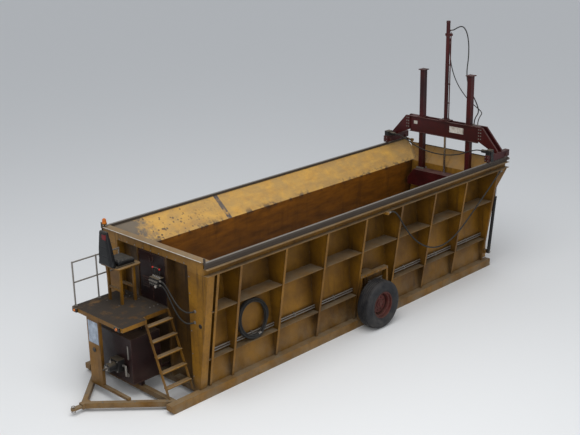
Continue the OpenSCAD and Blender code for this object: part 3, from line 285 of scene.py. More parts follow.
def wornSteel(name, look):
    shader = newMaterial(name, look["colour"])
    place = placeOf(shader)
    brushed = grainOf(stretched(place, *look["grain"]), 30.0, 5.0, 0.7)
    rust = effect(place, "rustSpots", amount=look["rust"], scale=8.0)
    dust = effect(place, "dustCover", top=look["dustTop"], splash=0.3, height=0.8, scale=4.0)
    colour = mixColour(rust, mixColour(brushed, look["colour"], look["shade"]), earth["rust"])
    colour = mixColour(dust, colour, earth["dust"])
    matt = compute("MAXIMUM", rust, dust)
    # the sides are painted dark brown: painted shade, partly rust
    if "flankShade" in look:  # only the run-on top stays bright
        flankShade = spread(axes(normalOf(place))[2], 0.85, 0.45, 0.0, look["flankShade"])
        colour = mixColour(flankShade, colour, paint(50, 38, 27))
        matt = compute("MAXIMUM", matt, flankShade)
    shader.id_data.links.new(spread(matt, 0.0, 1.0, look["metal"], 0.0), shader.inputs["Metallic"])
    rough = spread(brushed, 0.3, 0.7, look["rough"], look["rough"] + 0.12)
    finishShader(shader, colour, plus(rough, times(matt, 0.35), True), brushed, 0.15, 0.001)


trackLook = {"colour": paint(150, 146, 140), "shade": paint(112, 104, 96), "grain": (0.05, 1.0, 1.0),
             "rust": 0.3, "dustTop": 0.25, "metal": 0.6, "rough": 0.38}
wornSteel("wornSteel", trackLook)
wornSteel("trackSteel", dict(trackLook, flankShade=0.85))
wornSteel("bareSteel", dict(trackLook, grain=(1.0, 1.0, 0.2), rust=0.12, rough=0.3))
wornSteel("chromeRod", dict(trackLook, colour=paint(196, 197, 200), shade=paint(170, 172, 176), rust=0.0,
                            grain=(1.0, 1.0, 0.02), dustTop=0.1, metal=1.0, rough=0.14))


def dustyRubber(name, look):
    shader = newMaterial(name, look["colour"])
    place = placeOf(shader)
    cloud = grainOf(place, 5.0, 6.0, 0.65)
    colour = mixColour(spread(cloud, 0.35, 0.7, 0.0, look["haze"]), look["colour"], look["dust"])
    dust = effect(place, "dustCover", top=0.3, splash=look["splash"], height=look["height"], scale=6.0)
    rough = plus(spread(cloud, 0.3, 0.7, 0.55, 0.7), times(dust, 0.3), True)
    colour = mixColour(dust, colour, look["dust"])
    finishShader(shader, colour, rough, grainOf(place, 160.0, 3.0, 0.6), 0.25, 0.001)


dustyRubber("hoseRubber", {"colour": paint(20, 20, 21), "dust": paint(92, 86, 76), "haze": 0.2,
                           "splash": 0.2, "height": 0.6})
dustyRubber("tyreRubber", {"colour": paint(22, 23, 27), "dust": paint(84, 80, 76), "haze": 0.35,
                           "splash": 0.7, "height": 0.45})

# Black vinyl of the seat, with a plain red patch sewn on the back

vinylLook = {"colour": paint(20, 20, 22), "shade": paint(11, 11, 13), "dust": paint(84, 78, 68),
             "patch": paint(126, 22, 26), "patchSide": (-0.56, -0.44), "patchHeight": (3.16, 3.27),
             "patchFront": 4.66, "rough": 0.46}


def creasedVinyl():
    look = vinylLook
    shader = newMaterial("creasedVinyl", look["colour"])
    place = placeOf(shader)
    x, y, z = axes(place)
    colour = mixColour(grainOf(place, 9.0, 6.0, 0.6), look["colour"], look["shade"])
    ragged = spread(grainOf(place, 40.0, 3.0, 0.6), 0.3, 0.7, -0.006, 0.006)
    across, up = plus(y, ragged), plus(z, ragged)
    inside = compute("GREATER_THAN", across, look["patchSide"][0])
    for value, limit, kind in ((across, look["patchSide"][1], "LESS_THAN"),
                               (up, look["patchHeight"][0], "GREATER_THAN"),
                               (up, look["patchHeight"][1], "LESS_THAN"),
                               (x, look["patchFront"], "GREATER_THAN")):
        inside = times(inside, compute(kind, value, limit))
    faded = mixColour(grainOf(place, 30.0, 4.0, 0.6), look["patch"], paint(92, 16, 20))
    colour = mixColour(inside, colour, faded)
    wear = effect(place, "edgeWear", width=0.012, amount=0.4, scale=26.0)
    colour = mixColour(wear, colour, paint(70, 64, 58))
    dust = effect(place, "dustCover", top=0.55, splash=0.0, height=0.5, scale=9.0)
    leather = addNode(place.id_data, "TexVoronoi", {"Vector": place, "Scale": 420.0}).outputs[0]
    creases = grainOf(stretched(place, 1.0, 0.5, 1.6), 16.0, 5.0, 0.6, 0.8)
    height = plus(times(leather, 0.12), times(creases, 1.6))
    finishShader(shader, mixColour(dust, colour, look["dust"]), plus(times(dust, 0.35), look["rough"], True),
                 height, 0.4, 0.004)


creasedVinyl()


def plainPlate(name, colour, shade, rough):
    shader = newMaterial(name, colour)
    place = placeOf(shader)
    faded = mixColour(spread(grainOf(place, 7.0, 6.0, 0.65), 0.35, 0.65), colour, shade)
    scratched = grainOf(stretched(place, 1.0, 1.0, 0.2), 60.0, 4.0, 0.7)
    faded = mixColour(spread(scratched, 0.6, 0.72, 0.0, 0.7), faded, paint(96, 92, 88))
    faded = mixColour(effect(place, "rainStreaks", amount=0.7, scale=24.0), faded, earth["grime"])
    wear = effect(place, "edgeWear", width=0.006, amount=0.8, scale=30.0)
    finishShader(shader, mixColour(wear, faded, earth["rust"]),
                 spread(scratched, 0.3, 0.7, rough, rough + 0.2), scratched, 0.2, 0.001)


plainPlate("paleBluePlate", paint(176, 186, 198), paint(128, 138, 152), 0.4)
plainPlate("whitePlate", paint(206, 202, 194), paint(158, 150, 138), 0.45)
plainPlate("amberLens", paint(214, 120, 26), paint(172, 84, 14), 0.15)
plainPlate("redLens", paint(196, 40, 26), paint(140, 24, 18), 0.15)

# The side walls' outer faces are ochre, the inner ones scoured; the flare is painted lighter, as faded paint
# and painted skylight

wallLook = dict(ochreLook, inner=paint(138, 84, 18), innerShade=paint(92, 54, 12), deep=paint(62, 36, 10),
                flare=paint(222, 170, 74), flareShade=paint(196, 142, 56), knuckle=2.5, stripe=(0.89, 1.01),
                stripeColour=paint(36, 40, 66), chips=(0.9, 2.6), chipColour=paint(70, 44, 26),
                greyFront=(2.95, 3.35), greyEndColour=paint(84, 78, 76), rubbedColour=paint(58, 40, 30),
                reach=0.9, corners=0.8, streaks=0.4, rust=0.16)


def scrubbedWall():
    look = wallLook
    shader = newMaterial("scrubbedWall", look["colour"])
    place = placeOf(shader)
    x, y, z = axes(place)
    inward = compute("LESS_THAN", times(compute("SIGN", y), axes(normalOf(place))[1]), -0.02)
    scour = grainOf(stretched(place, 0.25, 1.0, 1.0), 7.0, 7.0, 0.62)
    low = mixColour(spread(scour, 0.35, 0.7), look["inner"], look["innerShade"])
    # the inner face darkens towards the bottom of the box: painted shade
    low = mixColour(times(spread(z, 2.4, 1.2), 0.6), low, look["deep"])
    # the flare's colours are lighter: faded paint and painted skylight
    high = mixColour(spread(scour, 0.4, 0.75), look["flare"], look["flareShade"])
    # dark chips in the flare's paint towards the front, grey at its very end
    chips = addNode(place.id_data, "TexVoronoi", {"Vector": place, "Scale": 13.0}).outputs[0]
    chips = compute("LESS_THAN", chips, spread(grainOf(place, 4.0, 3.0, 0.5), 0.4, 0.62, 0.06, 0.4))
    high = mixColour(times(spread(x, *look["chips"]), chips), high, look["chipColour"])
    edge = plus(x, spread(grainOf(place, 6.0, 5.0, 0.7), 0.3, 0.7, -0.3, 0.3))
    high = mixColour(spread(edge, *look["greyFront"]), high, look["greyEndColour"])
    stripe = times(compute("GREATER_THAN", x, look["stripe"][0]), compute("LESS_THAN", x, look["stripe"][1]))
    stripe = times(stripe, compute("LESS_THAN", y, 0.0))
    stripe = times(stripe, spread(grainOf(place, 9.0, 4.0, 0.6), 0.3, 0.5))
    high = mixColour(stripe, high, look["stripeColour"])
    inside = mixColour(compute("GREATER_THAN", z, look["knuckle"]), low, high)
    # rubbed line along the knuckle
    rubbed = spread(compute("ABSOLUTE", compute("SUBTRACT", z, look["knuckle"])), 0.09, 0.0)
    rubbed = times(rubbed, spread(grainOf(place, 5.0, 6.0, 0.7), 0.5, 0.58))
    inside = mixColour(rubbed, inside, look["rubbedColour"])
    weather(shader, place, mixColour(inward, patched(place, look), inside), look)


scrubbedWall()

finishes = {
    "ochrePaint": "ribs shelves front_columns rear_posts cross_member tongue_left tongue_right hitch"
                  " deck_post ladder seat_pedestal wheel_frames",
    "gatePaint": "tailgate",
    "shadedGrimyWallPaint": "front_wall",
    "deckPaint": "deck",
    "scrubbedWall": "side_wall_left side_wall_right",
    "tanPaint": "skids top_rails front_band",
    "trackSteel": "tracks",
    "wornSteel": "rollers",
    "bareSteel": "handrail side_pipes",
    "chromeRod": "ram_rod gate_rod_left gate_rod_right",
    "redPaint": "bridge end_frame_left end_frame_right mast_barrel guide_posts foot",
    "tankPaint": "reservoir valve_box",
    "blackPaint": "levers pump drive_motors gate_barrel_left gate_barrel_right seat",
    "hoseRubber": "front_hoses side_hose mast_hose return_hose drive_hose hose_coil",
    "tyreRubber": "tyre_left tyre_right",
    "rimPaint": "rim_left rim_right",
}
for finish, names in finishes.items():
    for name in names.split():
        for place in nodes[name].material_slots:
            place.material = materials[finish]
print("frame painted")


def addObject(name, data):
    made = bpy.data.objects.new(name, data)
    scene.collection.objects.link(made)
    return made


def meshOf(name, shape):
    data = bpy.data.meshes.new(name)
    shape.to_mesh(data)
    shape.free()
    return data


# Camera where the photograph was taken from, aimed at the machine's middle

view = {"place": (15.7905, 15.48, 9.845), "aim": (0.129, 0.0, 2.551), "lens": 63.0, "roll": -1.12,
        "sensor": 36.0, "farthest": 500.0}


def setCamera():
    data = bpy.data.cameras.new("camera")
    data.lens = view["lens"]
    data.sensor_width = view["sensor"]
    data.clip_end = view["farthest"]
    camera = addObject("camera", data)
    place = Vector(view["place"])
    ahead = (Vector(view["aim"]) - place).normalized()
    side = ahead.cross(Vector((0, 0, 1))).normalized()
    turned = Matrix((side, side.cross(ahead), -ahead)).transposed().to_4x4()
    roll = Matrix.Rotation(math.radians(view["roll"]), 4, "Z")
    camera.matrix_world = Matrix.Translation(place) @ turned @ roll
    scene.camera = camera


setCamera()

# Cords: their routes are the solids' own

hoses = {
    "mastHose": {"radius": 0.015, "body": "carriage", "node": "mast_hose", "route": [
        (-5.8698, 0, 6.12), (-5.9295, 0, 6.12), (-5.9895, 0, 6.12), (-6.0545, 0.001, 6.127),
        (-6.1245, 0.004, 6.1459), (-6.2045, 0.008, 6.1646), (-6.2945, 0.013, 6.1752),
        (-6.3845, 0.019, 6.1646), (-6.4695, 0.027, 6.1129), (-6.5445, 0.038, 6.0142),
        (-6.5975, 0.05, 5.8732), (-6.6215, 0.066, 5.697), (-6.6095, 0.086, 5.4973),
        (-6.5595, 0.115, 5.3092), (-6.4795, 0.152, 5.1448), (-6.3895, 0.205, 4.9802),
        (-6.3095, 0.28, 4.8158), (-6.2545, 0.375, 4.6583), (-6.2245, 0.48, 4.5103),
        (-6.2095, 0.59, 4.3693), (-6.1815, 0.69, 4.24), (-6.1355, 0.765, 4.1554),
        (-6.0775, 0.818, 4.1014), (-6.0195, 0.853, 4.0673), (-5.9645, 0.877, 4.0426),
        (-5.9115, 0.893, 4.0203), (-5.8615, 0.899, 3.9909), (-5.8215, 0.9, 3.9474),
        (-5.7955, 0.9, 3.8946), (-5.7875, 0.9, 3.8405), (-5.7875, 0.9, 3.8053), (-5.7875, 0.9, 3.7702)]},
    "tramperReturn": {"radius": 0.012, "body": "carriage", "node": "return_hose", "route": [
        (-5.8825, 0, 5.8498), (-5.8825, 0, 5.8001), (-5.8825, 0, 5.75), (-5.8835, 0.002, 5.6399),
        (-5.8885, 0.008, 5.5099), (-5.8985, 0.02, 5.3699), (-5.9125, 0.041, 5.225),
        (-5.9305, 0.074, 5.08), (-5.9505, 0.12, 4.935), (-5.9715, 0.181, 4.795),
        (-5.9925, 0.256, 4.665), (-6.0125, 0.342, 4.545), (-6.0305, 0.437, 4.435),
        (-6.0455, 0.538, 4.3399), (-6.0555, 0.64, 4.265), (-6.0605, 0.735, 4.2049),
        (-6.0575, 0.82, 4.1579), (-6.0425, 0.895, 4.1201), (-6.0135, 0.955, 4.088),
        (-5.9715, 0.992, 4.062), (-5.9195, 1.007, 4.0371), (-5.8715, 1.01, 4.003),
        (-5.8305, 1.01, 3.957), (-5.8005, 1.01, 3.9029), (-5.7875, 1.01, 3.8501),
        (-5.7875, 1.01, 3.8099), (-5.7875, 1.01, 3.7702)]},
    "driveHose": {"radius": 0.015, "body": "carriage", "node": "drive_hose", "route": [
        (-5.4375, -1.4047, 3.25), (-5.4375, -1.3488, 3.25), (-5.4375, -1.2926, 3.25),
        (-5.4375, -1.2083, 3.236), (-5.4375, -1.0819, 3.194), (-5.4375, -0.9203, 3.128),
        (-5.4375, -0.7404, 3.055), (-5.4375, -0.5494, 3), (-5.4375, -0.3498, 2.962),
        (-5.4375, -0.1194, 2.942), (-5.4375, 0.1194, 2.942), (-5.4375, 0.3498, 2.962),
        (-5.4375, 0.5494, 3), (-5.4375, 0.7404, 3.055), (-5.4375, 0.9203, 3.128),
        (-5.4375, 1.0819, 3.194), (-5.4375, 1.2083, 3.236), (-5.4375, 1.2926, 3.25),
        (-5.4375, 1.3488, 3.25), (-5.4375, 1.4047, 3.25)]},
    "sideHose": {"radius": 0.017, "body": "chassis", "node": "side_hose", "route": [
        (-1.2478, 1.762, 2.7), (-1.2975, 1.762, 2.7), (-1.3475, 1.762, 2.7), (-1.3975, 1.763, 2.696),
        (-1.4515, 1.765, 2.678), (-1.5075, 1.769, 2.64), (-1.5675, 1.774, 2.579),
        (-1.6375, 1.78, 2.49), (-1.7195, 1.786, 2.372), (-1.8225, 1.792, 2.227),
        (-1.9575, 1.797, 2.057), (-2.1275, 1.8, 1.882), (-2.3375, 1.8, 1.712), (-2.5775, 1.8, 1.562),
        (-2.8475, 1.8, 1.447), (-3.1375, 1.8, 1.387), (-3.4375, 1.8, 1.392), (-3.7375, 1.8, 1.467),
        (-4.0475, 1.8, 1.607), (-4.3575, 1.8, 1.797), (-4.6575, 1.8, 1.997), (-4.9375, 1.799, 2.182),
        (-5.1775, 1.796, 2.34), (-5.3675, 1.79, 2.462), (-5.5075, 1.783, 2.552),
        (-5.6095, 1.775, 2.617), (-5.6895, 1.768, 2.662), (-5.7475, 1.764, 2.688),
        (-5.7975, 1.762, 2.699), (-5.8472, 1.762, 2.7)]},
    "pressureHose": {"radius": 0.016, "body": "chassis", "node": "front_hoses", "route": [
        (4.2425, 0.3703, 2.32), (4.2425, 0.43, 2.32), (4.2445, 0.505, 2.302), (4.2475, 0.58, 2.255),
        (4.2515, 0.67, 2.175), (4.2565, 0.78, 2.07), (4.2625, 0.9, 1.975), (4.2685, 1.03, 1.915),
        (4.2725, 1.17, 1.897), (4.2625, 1.22, 1.898), (4.2345, 1.262, 1.899), (4.1925, 1.29, 1.9),
        (4.1425, 1.3, 1.9), (4.1328, 1.3, 1.9)]},
    "returnHose": {"radius": 0.016, "body": "chassis", "node": "front_hoses", "route": [
        (4.2425, 0.3703, 2.23), (4.2425, 0.43, 2.23), (4.2445, 0.5, 2.208), (4.2475, 0.575, 2.15),
        (4.2515, 0.66, 2.05), (4.2565, 0.77, 1.908), (4.2625, 0.89, 1.778), (4.2685, 1.02, 1.692),
        (4.2725, 1.15, 1.66), (4.2625, 1.2, 1.659), (4.2345, 1.242, 1.659), (4.1925, 1.27, 1.66),
        (4.1425, 1.28, 1.66), (4.1328, 1.28, 1.66)]},
}


def smoothRoute(route, steps=5):
    points = [Vector(p) for p in route]
    last = len(points) - 1
    out = []
    for i in range(last):
        a, b, c, d = points[max(i - 1, 0)], points[i], points[i + 1], points[min(i + 2, last)]
        for s in range(steps):
            t = s / steps
            out.append(0.5 * (2 * b + (c - a) * t + (2 * a - 5 * b + 4 * c - d) * t * t
                              + (3 * b - a - 3 * c + d) * t ** 3))
    return out + [points[last]]


def makeHose(name, points, radius, material):
    data = bpy.data.curves.new(name, "CURVE")
    data.dimensions = "3D"
    data.bevel_depth = radius
    data.bevel_resolution = 4
    data.use_fill_caps = True
    line = data.splines.new("POLY")
    line.points.add(len(points) - 1)
    for spot, point in zip(line.points, points):
        spot.co = (*point, 1.0)
    line.use_smooth = True
    data.materials.append(materials[material])
    return addObject(name, data)


def makeCord(name, points, facts, **more):
    hose = makeHose(name, points, facts["radius"], "hoseRubber")
    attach(hose, facts["body"])
    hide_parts(facts["node"])


for name, facts in hoses.items():
    makeCord(name, smoothRoute(facts["route"]), facts, far_end="object", lay="hanging")

# A thicker hose lies coiled on the lower shelf and leans on the side wall

coil = {"foot": (2.5875, 1.3174, 0.8103), "mean": 0.39, "radius": 0.0217, "layer": 0.044, "lean": 8.65,
        "start": 250.0, "shifts": (330.0, 640.0, 950.0), "shiftSpan": 40.0, "end": 1300.0, "step": 7.5,
        "body": "chassis", "node": "hose_coil"}


def coilRoute():
    width = 2 * coil["layer"]
    half = coil["layer"] / 2
    cells = ((-half, -half), (half, -half), (half, half), (-half, half))
    lean = math.radians(coil["lean"])
    points = []
    for i in range(int(coil["end"] / coil["step"]) + 1):
        angle = i * coil["step"]
        across, deep = cells[0]
        for k, shift in enumerate(coil["shifts"]):
            share = min(max((angle - shift) / coil["shiftSpan"], 0.0), 1.0)
            share = share * share * (3.0 - 2.0 * share)
            across += share * (cells[k + 1][0] - cells[k][0])
            deep += share * (cells[k + 1][1] - cells[k][1])
        turn = math.radians(angle + coil["start"])
        reach = coil["mean"] + across
        up = coil["mean"] + width / 2 + reach * math.sin(turn)
        out = width / 2 - deep
        points.append(Vector((coil["foot"][0] + reach * math.cos(turn),
                              coil["foot"][1] + out * math.cos(lean) - up * math.sin(lean),
                              coil["foot"][2] + out * math.sin(lean) + up * math.cos(lean))))
    return points


# Piece building

alongX, alongY, alongZ = (1, 0, 0), (0, 1, 0), (0, 0, 1)


def finishPiece(name, mesh, material, body="chassis", replaced=(), smooth=30.0, bevel=0.0):
    bmesh.ops.recalc_face_normals(mesh, faces=mesh.faces)
    data = meshOf(name, mesh)
    data.shade_smooth()
    data.set_sharp_from_angle(angle=math.radians(smooth))
    data.materials.append(materials[material])
    piece = addObject(name, data)
    if bevel:
        rounding = piece.modifiers.new("rounding", "BEVEL")
        rounding.width = bevel
        rounding.segments = 2
        rounding.limit_method = "ANGLE"
        rounding.angle_limit = math.radians(40)
    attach(piece, body)
    if replaced:
        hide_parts(*replaced)
    return piece


def addBlock(mesh, first, second, turn=None):  # two opposite corners, in any order
    low, high = (Vector(tuple(map(pick, first, second))) for pick in (min, max))
    size = Matrix.Diagonal((*(high - low), 1.0))
    place = Matrix.Translation((low + high) / 2)
    return bmesh.ops.create_cube(mesh, size=1.0, matrix=place @ (turn or Matrix()) @ size)["verts"]


def addRod(mesh, start, end, radius, sides=16, endRadius=None):
    start, end = Vector(start), Vector(end)
    turn = (end - start).to_track_quat("Z", "Y").to_matrix().to_4x4()
    bmesh.ops.create_cone(mesh, cap_ends=True, segments=sides, radius1=radius,
                          radius2=radius if endRadius is None else endRadius, depth=(end - start).length,
                          matrix=Matrix.Translation((start + end) / 2) @ turn)


def addStack(mesh, spot, along, *rods):  # rods on one line: from, to, radius, sides, end's radius
    spot, along = Vector(spot), Vector(along)
    for start, end, *shape in rods:
        addRod(mesh, spot + along * start, spot + along * end, *shape)


def addBall(mesh, place, radius, rings=8):
    bmesh.ops.create_uvsphere(mesh, u_segments=2 * rings, v_segments=rings, radius=radius,
                              matrix=Matrix.Translation(Vector(place)))


def addBolt(mesh, place, outward, size):  # washer, hexagon head and the thread's end
    addStack(mesh, place, Vector(outward).normalized() * size, (0.0, 0.3, size * 1.4, 12),
             (0.2, 1.0, size, 6), (0.9, 1.4, size * 0.5, 8))


def addBolts(mesh, xs, ys, zs, outward, size):  # one for every x, y and z
    for place in product(xs, ys, zs):
        addBolt(mesh, place, outward, size)


def circle(count, radius, start=0.0):
    turns = [math.tau * (k + start) / count for k in range(count)]
    return [(radius * math.cos(turn), radius * math.sin(turn)) for turn in turns]


def spinProfile(mesh, profile, centre, axis, steps):
    verts = [mesh.verts.new(point) for point in profile]
    edges = [mesh.edges.new(pair) for pair in zip(verts, verts[1:] + verts[:1])]
    bmesh.ops.spin(mesh, geom=verts + edges, cent=centre, axis=axis, angle=math.tau, steps=steps,
                   use_merge=True, use_duplicate=False)
    bmesh.ops.remove_doubles(mesh, verts=mesh.verts, dist=0.00002)


def addRing(mesh, centre, axis, section, steps):
    centre, axis = Vector(centre), Vector(axis)
    side = axis.orthogonal().normalized()
    ring = bmesh.new()
    spinProfile(ring, [centre + side * r + axis * h for r, h in section], centre, axis, steps)
    extra = meshOf("ring", ring)
    mesh.from_mesh(extra)
    bpy.data.meshes.remove(extra)


def addBead(mesh, centre, axis, radius, thick, steps):
    addRing(mesh, centre, axis, [(radius + r, h) for r, h in circle(8, thick)], steps)


def addBand(mesh, centre, axis, inner, outer, height, steps=48):
    half = height / 2
    addRing(mesh, centre, axis, ((inner, -half), (outer, -half), (outer, half), (inner, half)), steps)


# Wheels: ribbed implement tyres on dished rims with hand holes

wheel = {"centre": (-0.9675, 0.0, 0.57), "inner": 1.52, "width": 0.4, "steps": 144, "rimSteps": 96,
         "grooves": (0.122, 0.174, 0.226, 0.278), "ribTop": (0.5695, 0.026), "zigzag": 0.0045, "notch": 0.008,
         "zigzagFrom": 0.553, "notchFrom": 0.55, "notchTo": 0.5662, "nuts": 8, "nutCircle": 0.15,
         "nutSize": 0.017, "holes": 8, "holeCircle": 0.224, "holeRadius": 0.0145}
halfTyre = [(0.3025, 0.078), (0.3035, 0.064), (0.312, 0.05), (0.328, 0.037), (0.342, 0.030), (0.35, 0.031),
            (0.356, 0.025), (0.372, 0.017), (0.398, 0.008), (0.425, 0.002), (0.445, 0.0005), (0.452, 0.004),
            (0.458, 0.0008), (0.482, 0.005), (0.504, 0.012), (0.515, 0.0175), (0.521, 0.0245),
            (0.527, 0.0235), (0.541, 0.032), (0.552, 0.043), (0.56, 0.055),
            (0.5655, 0.069), (0.567, 0.09), (0.5675, 0.108)]
halfGroove = [(0.5685, 0.009), (0.564, 0.007), (0.555, 0.0055)]
rimSection = [(0.312, 0.362), (0.3175, 0.356), (0.316, 0.348), (0.3, 0.344), (0.298, 0.3), (0.27, 0.286),
              (0.262, 0.272), (0.262, 0.128), (0.27, 0.114), (0.298, 0.1), (0.3, 0.056), (0.316, 0.052),
              (0.3175, 0.044), (0.312, 0.038), (0.306, 0.04), (0.304, 0.047), (0.292, 0.05), (0.29, 0.097),
              (0.263, 0.109), (0.254, 0.125), (0.254, 0.275), (0.263, 0.291), (0.29, 0.303), (0.292, 0.35),
              (0.304, 0.353), (0.306, 0.36)]
discSection = [(0.257, 0.196), (0.247, 0.198), (0.222, 0.222), (0.206, 0.232), (0.094, 0.232), (0.094, 0.222),
               (0.203, 0.222), (0.217, 0.213), (0.24, 0.19), (0.257, 0.186)]
hubSection = [(0.0, 0.287), (0.038, 0.287), (0.047, 0.283), (0.052, 0.275), (0.054, 0.262), (0.078, 0.258),
              (0.09, 0.252), (0.095, 0.244), (0.095, 0.05), (0.088, 0.04), (0.088, -0.07), (0.095, -0.08),
              (0.095, -0.096), (0.042, -0.096), (0.042, 0.2), (0.0, 0.2)]


def tyreProfile():
    points = list(halfTyre)
    for groove in wheel["grooves"]:
        points += [(r, groove - y) for r, y in halfGroove]
        points += [(r, groove + y) for r, y in reversed(halfGroove)]
        if groove != wheel["grooves"][-1]:
            points.append((wheel["ribTop"][0], groove + wheel["ribTop"][1]))
    return points + [(r, wheel["width"] - y) for r, y in reversed(halfTyre)]


def makeTyre(label, side):
    centre = Vector(wheel["centre"])
    mesh = bmesh.new()
    profile = [centre + Vector((0.0, side * (wheel["inner"] + y), r)) for r, y in tyreProfile()]
    spinProfile(mesh, profile, centre, alongY, wheel["steps"])
    for vert in mesh.verts:
        out = vert.co - centre
        reach = math.hypot(out.x, out.z)
        across = side * out.y - wheel["inner"]
        index = round(math.atan2(out.z, out.x) * wheel["steps"] / math.tau)
        wave = (abs(index % 4 - 1.5) - 1.0) * 2.0
        if reach > wheel["zigzagFrom"] and 0.105 < across < 0.295:
            if min(abs(groove - across) for groove in wheel["grooves"]) < 0.0095:
                vert.co.y += side * wave * wheel["zigzag"]
        elif wheel["notchFrom"] < reach < wheel["notchTo"] and index % 4 == 0:
            vert.co.x -= out.x * wheel["notch"] / reach
            vert.co.z -= out.z * wheel["notch"] / reach
    finishPiece("tyre" + label.capitalize(), mesh, "tyreRubber", "wheel_" + label,
                replaced=("tyre_" + label,), smooth=32)


def cutAway(mesh, cutter):
    pair = [addObject("cut", meshOf("cut", shape)) for shape in (mesh, cutter)]
    hole = pair[0].modifiers.new("hole", "BOOLEAN")
    hole.operation = "DIFFERENCE"
    hole.solver = "EXACT"
    hole.object = pair[1]
    result = bmesh.new()
    result.from_mesh(pair[0].evaluated_get(bpy.context.evaluated_depsgraph_get()).to_mesh())
    for made in pair:
        data = made.data
        bpy.data.objects.remove(made)
        bpy.data.meshes.remove(data)
    return result


def makeRim(label, side):
    centre, outward = Vector(wheel["centre"]), Vector((0.0, side, 0.0))

    def at(r, y, x=0.0):
        return centre + Vector((x, side * (wheel["inner"] + y), r))

    def spun(shape, section, steps):
        spinProfile(shape, [at(*point) for point in section], centre, alongY, steps)

    disc, cutter = bmesh.new(), bmesh.new()
    spun(disc, discSection, wheel["rimSteps"])
    for x, z in circle(wheel["holes"], wheel["holeCircle"]):
        addRod(cutter, at(z, 0.15, x), at(z, 0.3, x), wheel["holeRadius"], 20)
    for shape in (disc, cutter):
        bmesh.ops.recalc_face_normals(shape, faces=shape.faces)
    disc = cutAway(disc, cutter)
    spun(disc, rimSection, wheel["rimSteps"])
    spun(disc, hubSection, 64)
    addBead(disc, at(0.0, 0.197), outward, 0.2545, 0.0045, 72)
    for x, z in circle(wheel["nuts"], wheel["nutCircle"], 0.5):
        addBolt(disc, at(z, 0.231, x), outward, wheel["nutSize"])
    addRod(disc, at(0.276, 0.285), at(0.262, 0.33), 0.004, 10)  # inflation valve
    addRod(disc, at(0.263, 0.326), at(0.260, 0.338), 0.0055, 8)
    finishPiece("rim" + label.capitalize(), disc, "rimPaint", "wheel_" + label, replaced=("rim_" + label,))


for label, side in (("left", 1), ("right", -1)):
    makeTyre(label, side)
    makeRim(label, side)
print("wheels made")


# The coiled hose and its two couplings

def makeCoil():
    points = coilRoute()
    radius = coil["radius"]
    fittings = bmesh.new()
    for inner, tip in ((points[3], points[0]), (points[-4], points[-1])):
        addStack(fittings, tip, (tip - inner).normalized(), (-0.05, 0.005, radius * 1.12, 20),
                 (-0.06, -0.052, radius * 1.18, 20), (0.004, 0.02, radius * 0.95, 6))
    fitting = finishPiece("coilCouplings", fittings, "bareSteel", smooth=35)
    makeCord("coiledHose", points, coil, far_end="fitting", lay="coiled", with_pieces=[fitting])


makeCoil()
print("hoses laid")

# Seat: a cushion and a tapered back under black vinyl, on the platform above the deck

seat = {"centre": (4.5025, -0.55), "base": 2.575, "width": 0.5, "depth": 0.46, "cushion": 0.14,
        "backRise": 0.765, "backStart": 0.24, "backHalf": 0.236, "voxel": 0.006, "cushionCap": 0.016,
        "backCap": 0.014, "pressure": 4.0, "frames": 20, "seamDepth": 0.007, "seamWidth": 0.006,
        "backSeams": (0.3, 0.55, 0.8)}


def settle(piece):  # what the modifiers make becomes the piece's own mesh
    old = piece.data
    data = bpy.data.meshes.new_from_object(piece.evaluated_get(bpy.context.evaluated_depsgraph_get()))
    piece.modifiers.clear()
    piece.data = data
    bpy.data.meshes.remove(old)
    return data


def roundEdges(mesh, edges, offset):
    bmesh.ops.bevel(mesh, geom=edges, offset=offset, segments=4, profile=0.5, affect="EDGES", material=-1)


def swell(name, mesh, cap):
    pad = addObject(name, meshOf(name, mesh))
    remesh = pad.modifiers.new("remesh", "REMESH")
    remesh.mode = "VOXEL"
    remesh.voxel_size = seat["voxel"] * 1.0
    settled = settle(pad)
    before = [vert.co.copy() for vert in settled.vertices]
    cloth = pad.modifiers.new("cloth", "CLOTH")
    cloth.settings.quality = 5
    cloth.settings.mass = 0.3
    cloth.settings.tension_stiffness = 12.0
    cloth.settings.compression_stiffness = 12.0
    cloth.settings.bending_stiffness = 0.6
    cloth.settings.use_pressure = True
    cloth.settings.uniform_pressure_force = seat["pressure"]
    cloth.settings.effector_weights.gravity = 0.0
    cloth.point_cache.frame_start = 1
    cloth.point_cache.frame_end = seat["frames"]
    for step in range(1, seat["frames"] + 1):
        scene.frame_set(step)
    after = pad.evaluated_get(bpy.context.evaluated_depsgraph_get()).data
    moved = [vert.co.copy() for vert in after.vertices]
    pad.modifiers.clear()
    scene.frame_set(1)
    for vert, start, end in zip(settled.vertices, before, moved):
        step = end - start
        vert.co = start + step * min(1.0, cap / max(step.length, 1e-9))
    return pad


def sewPad(pad, shapeOf):
    mesh = bmesh.new()
    mesh.from_mesh(pad.data)
    for i in range(3):
        bmesh.ops.smooth_vert(mesh, verts=mesh.verts, factor=0.5, use_axis_x=True, use_axis_y=True,
                              use_axis_z=True)
    mesh.normal_update()
    for vert in mesh.verts:
        vert.co -= vert.normal * shapeOf(vert.co, vert.normal)
    mesh.to_mesh(pad.data)
    mesh.free()
    finer = pad.modifiers.new("finer", "SUBSURF")
    finer.levels = 1
    finer.render_levels = 1
    data = settle(pad)
    data.shade_smooth()
    data.materials.clear()
    data.materials.append(materials["creasedVinyl"])


def groove(distance):
    return seat["seamDepth"] * math.exp(-(distance / seat["seamWidth"]) ** 2)


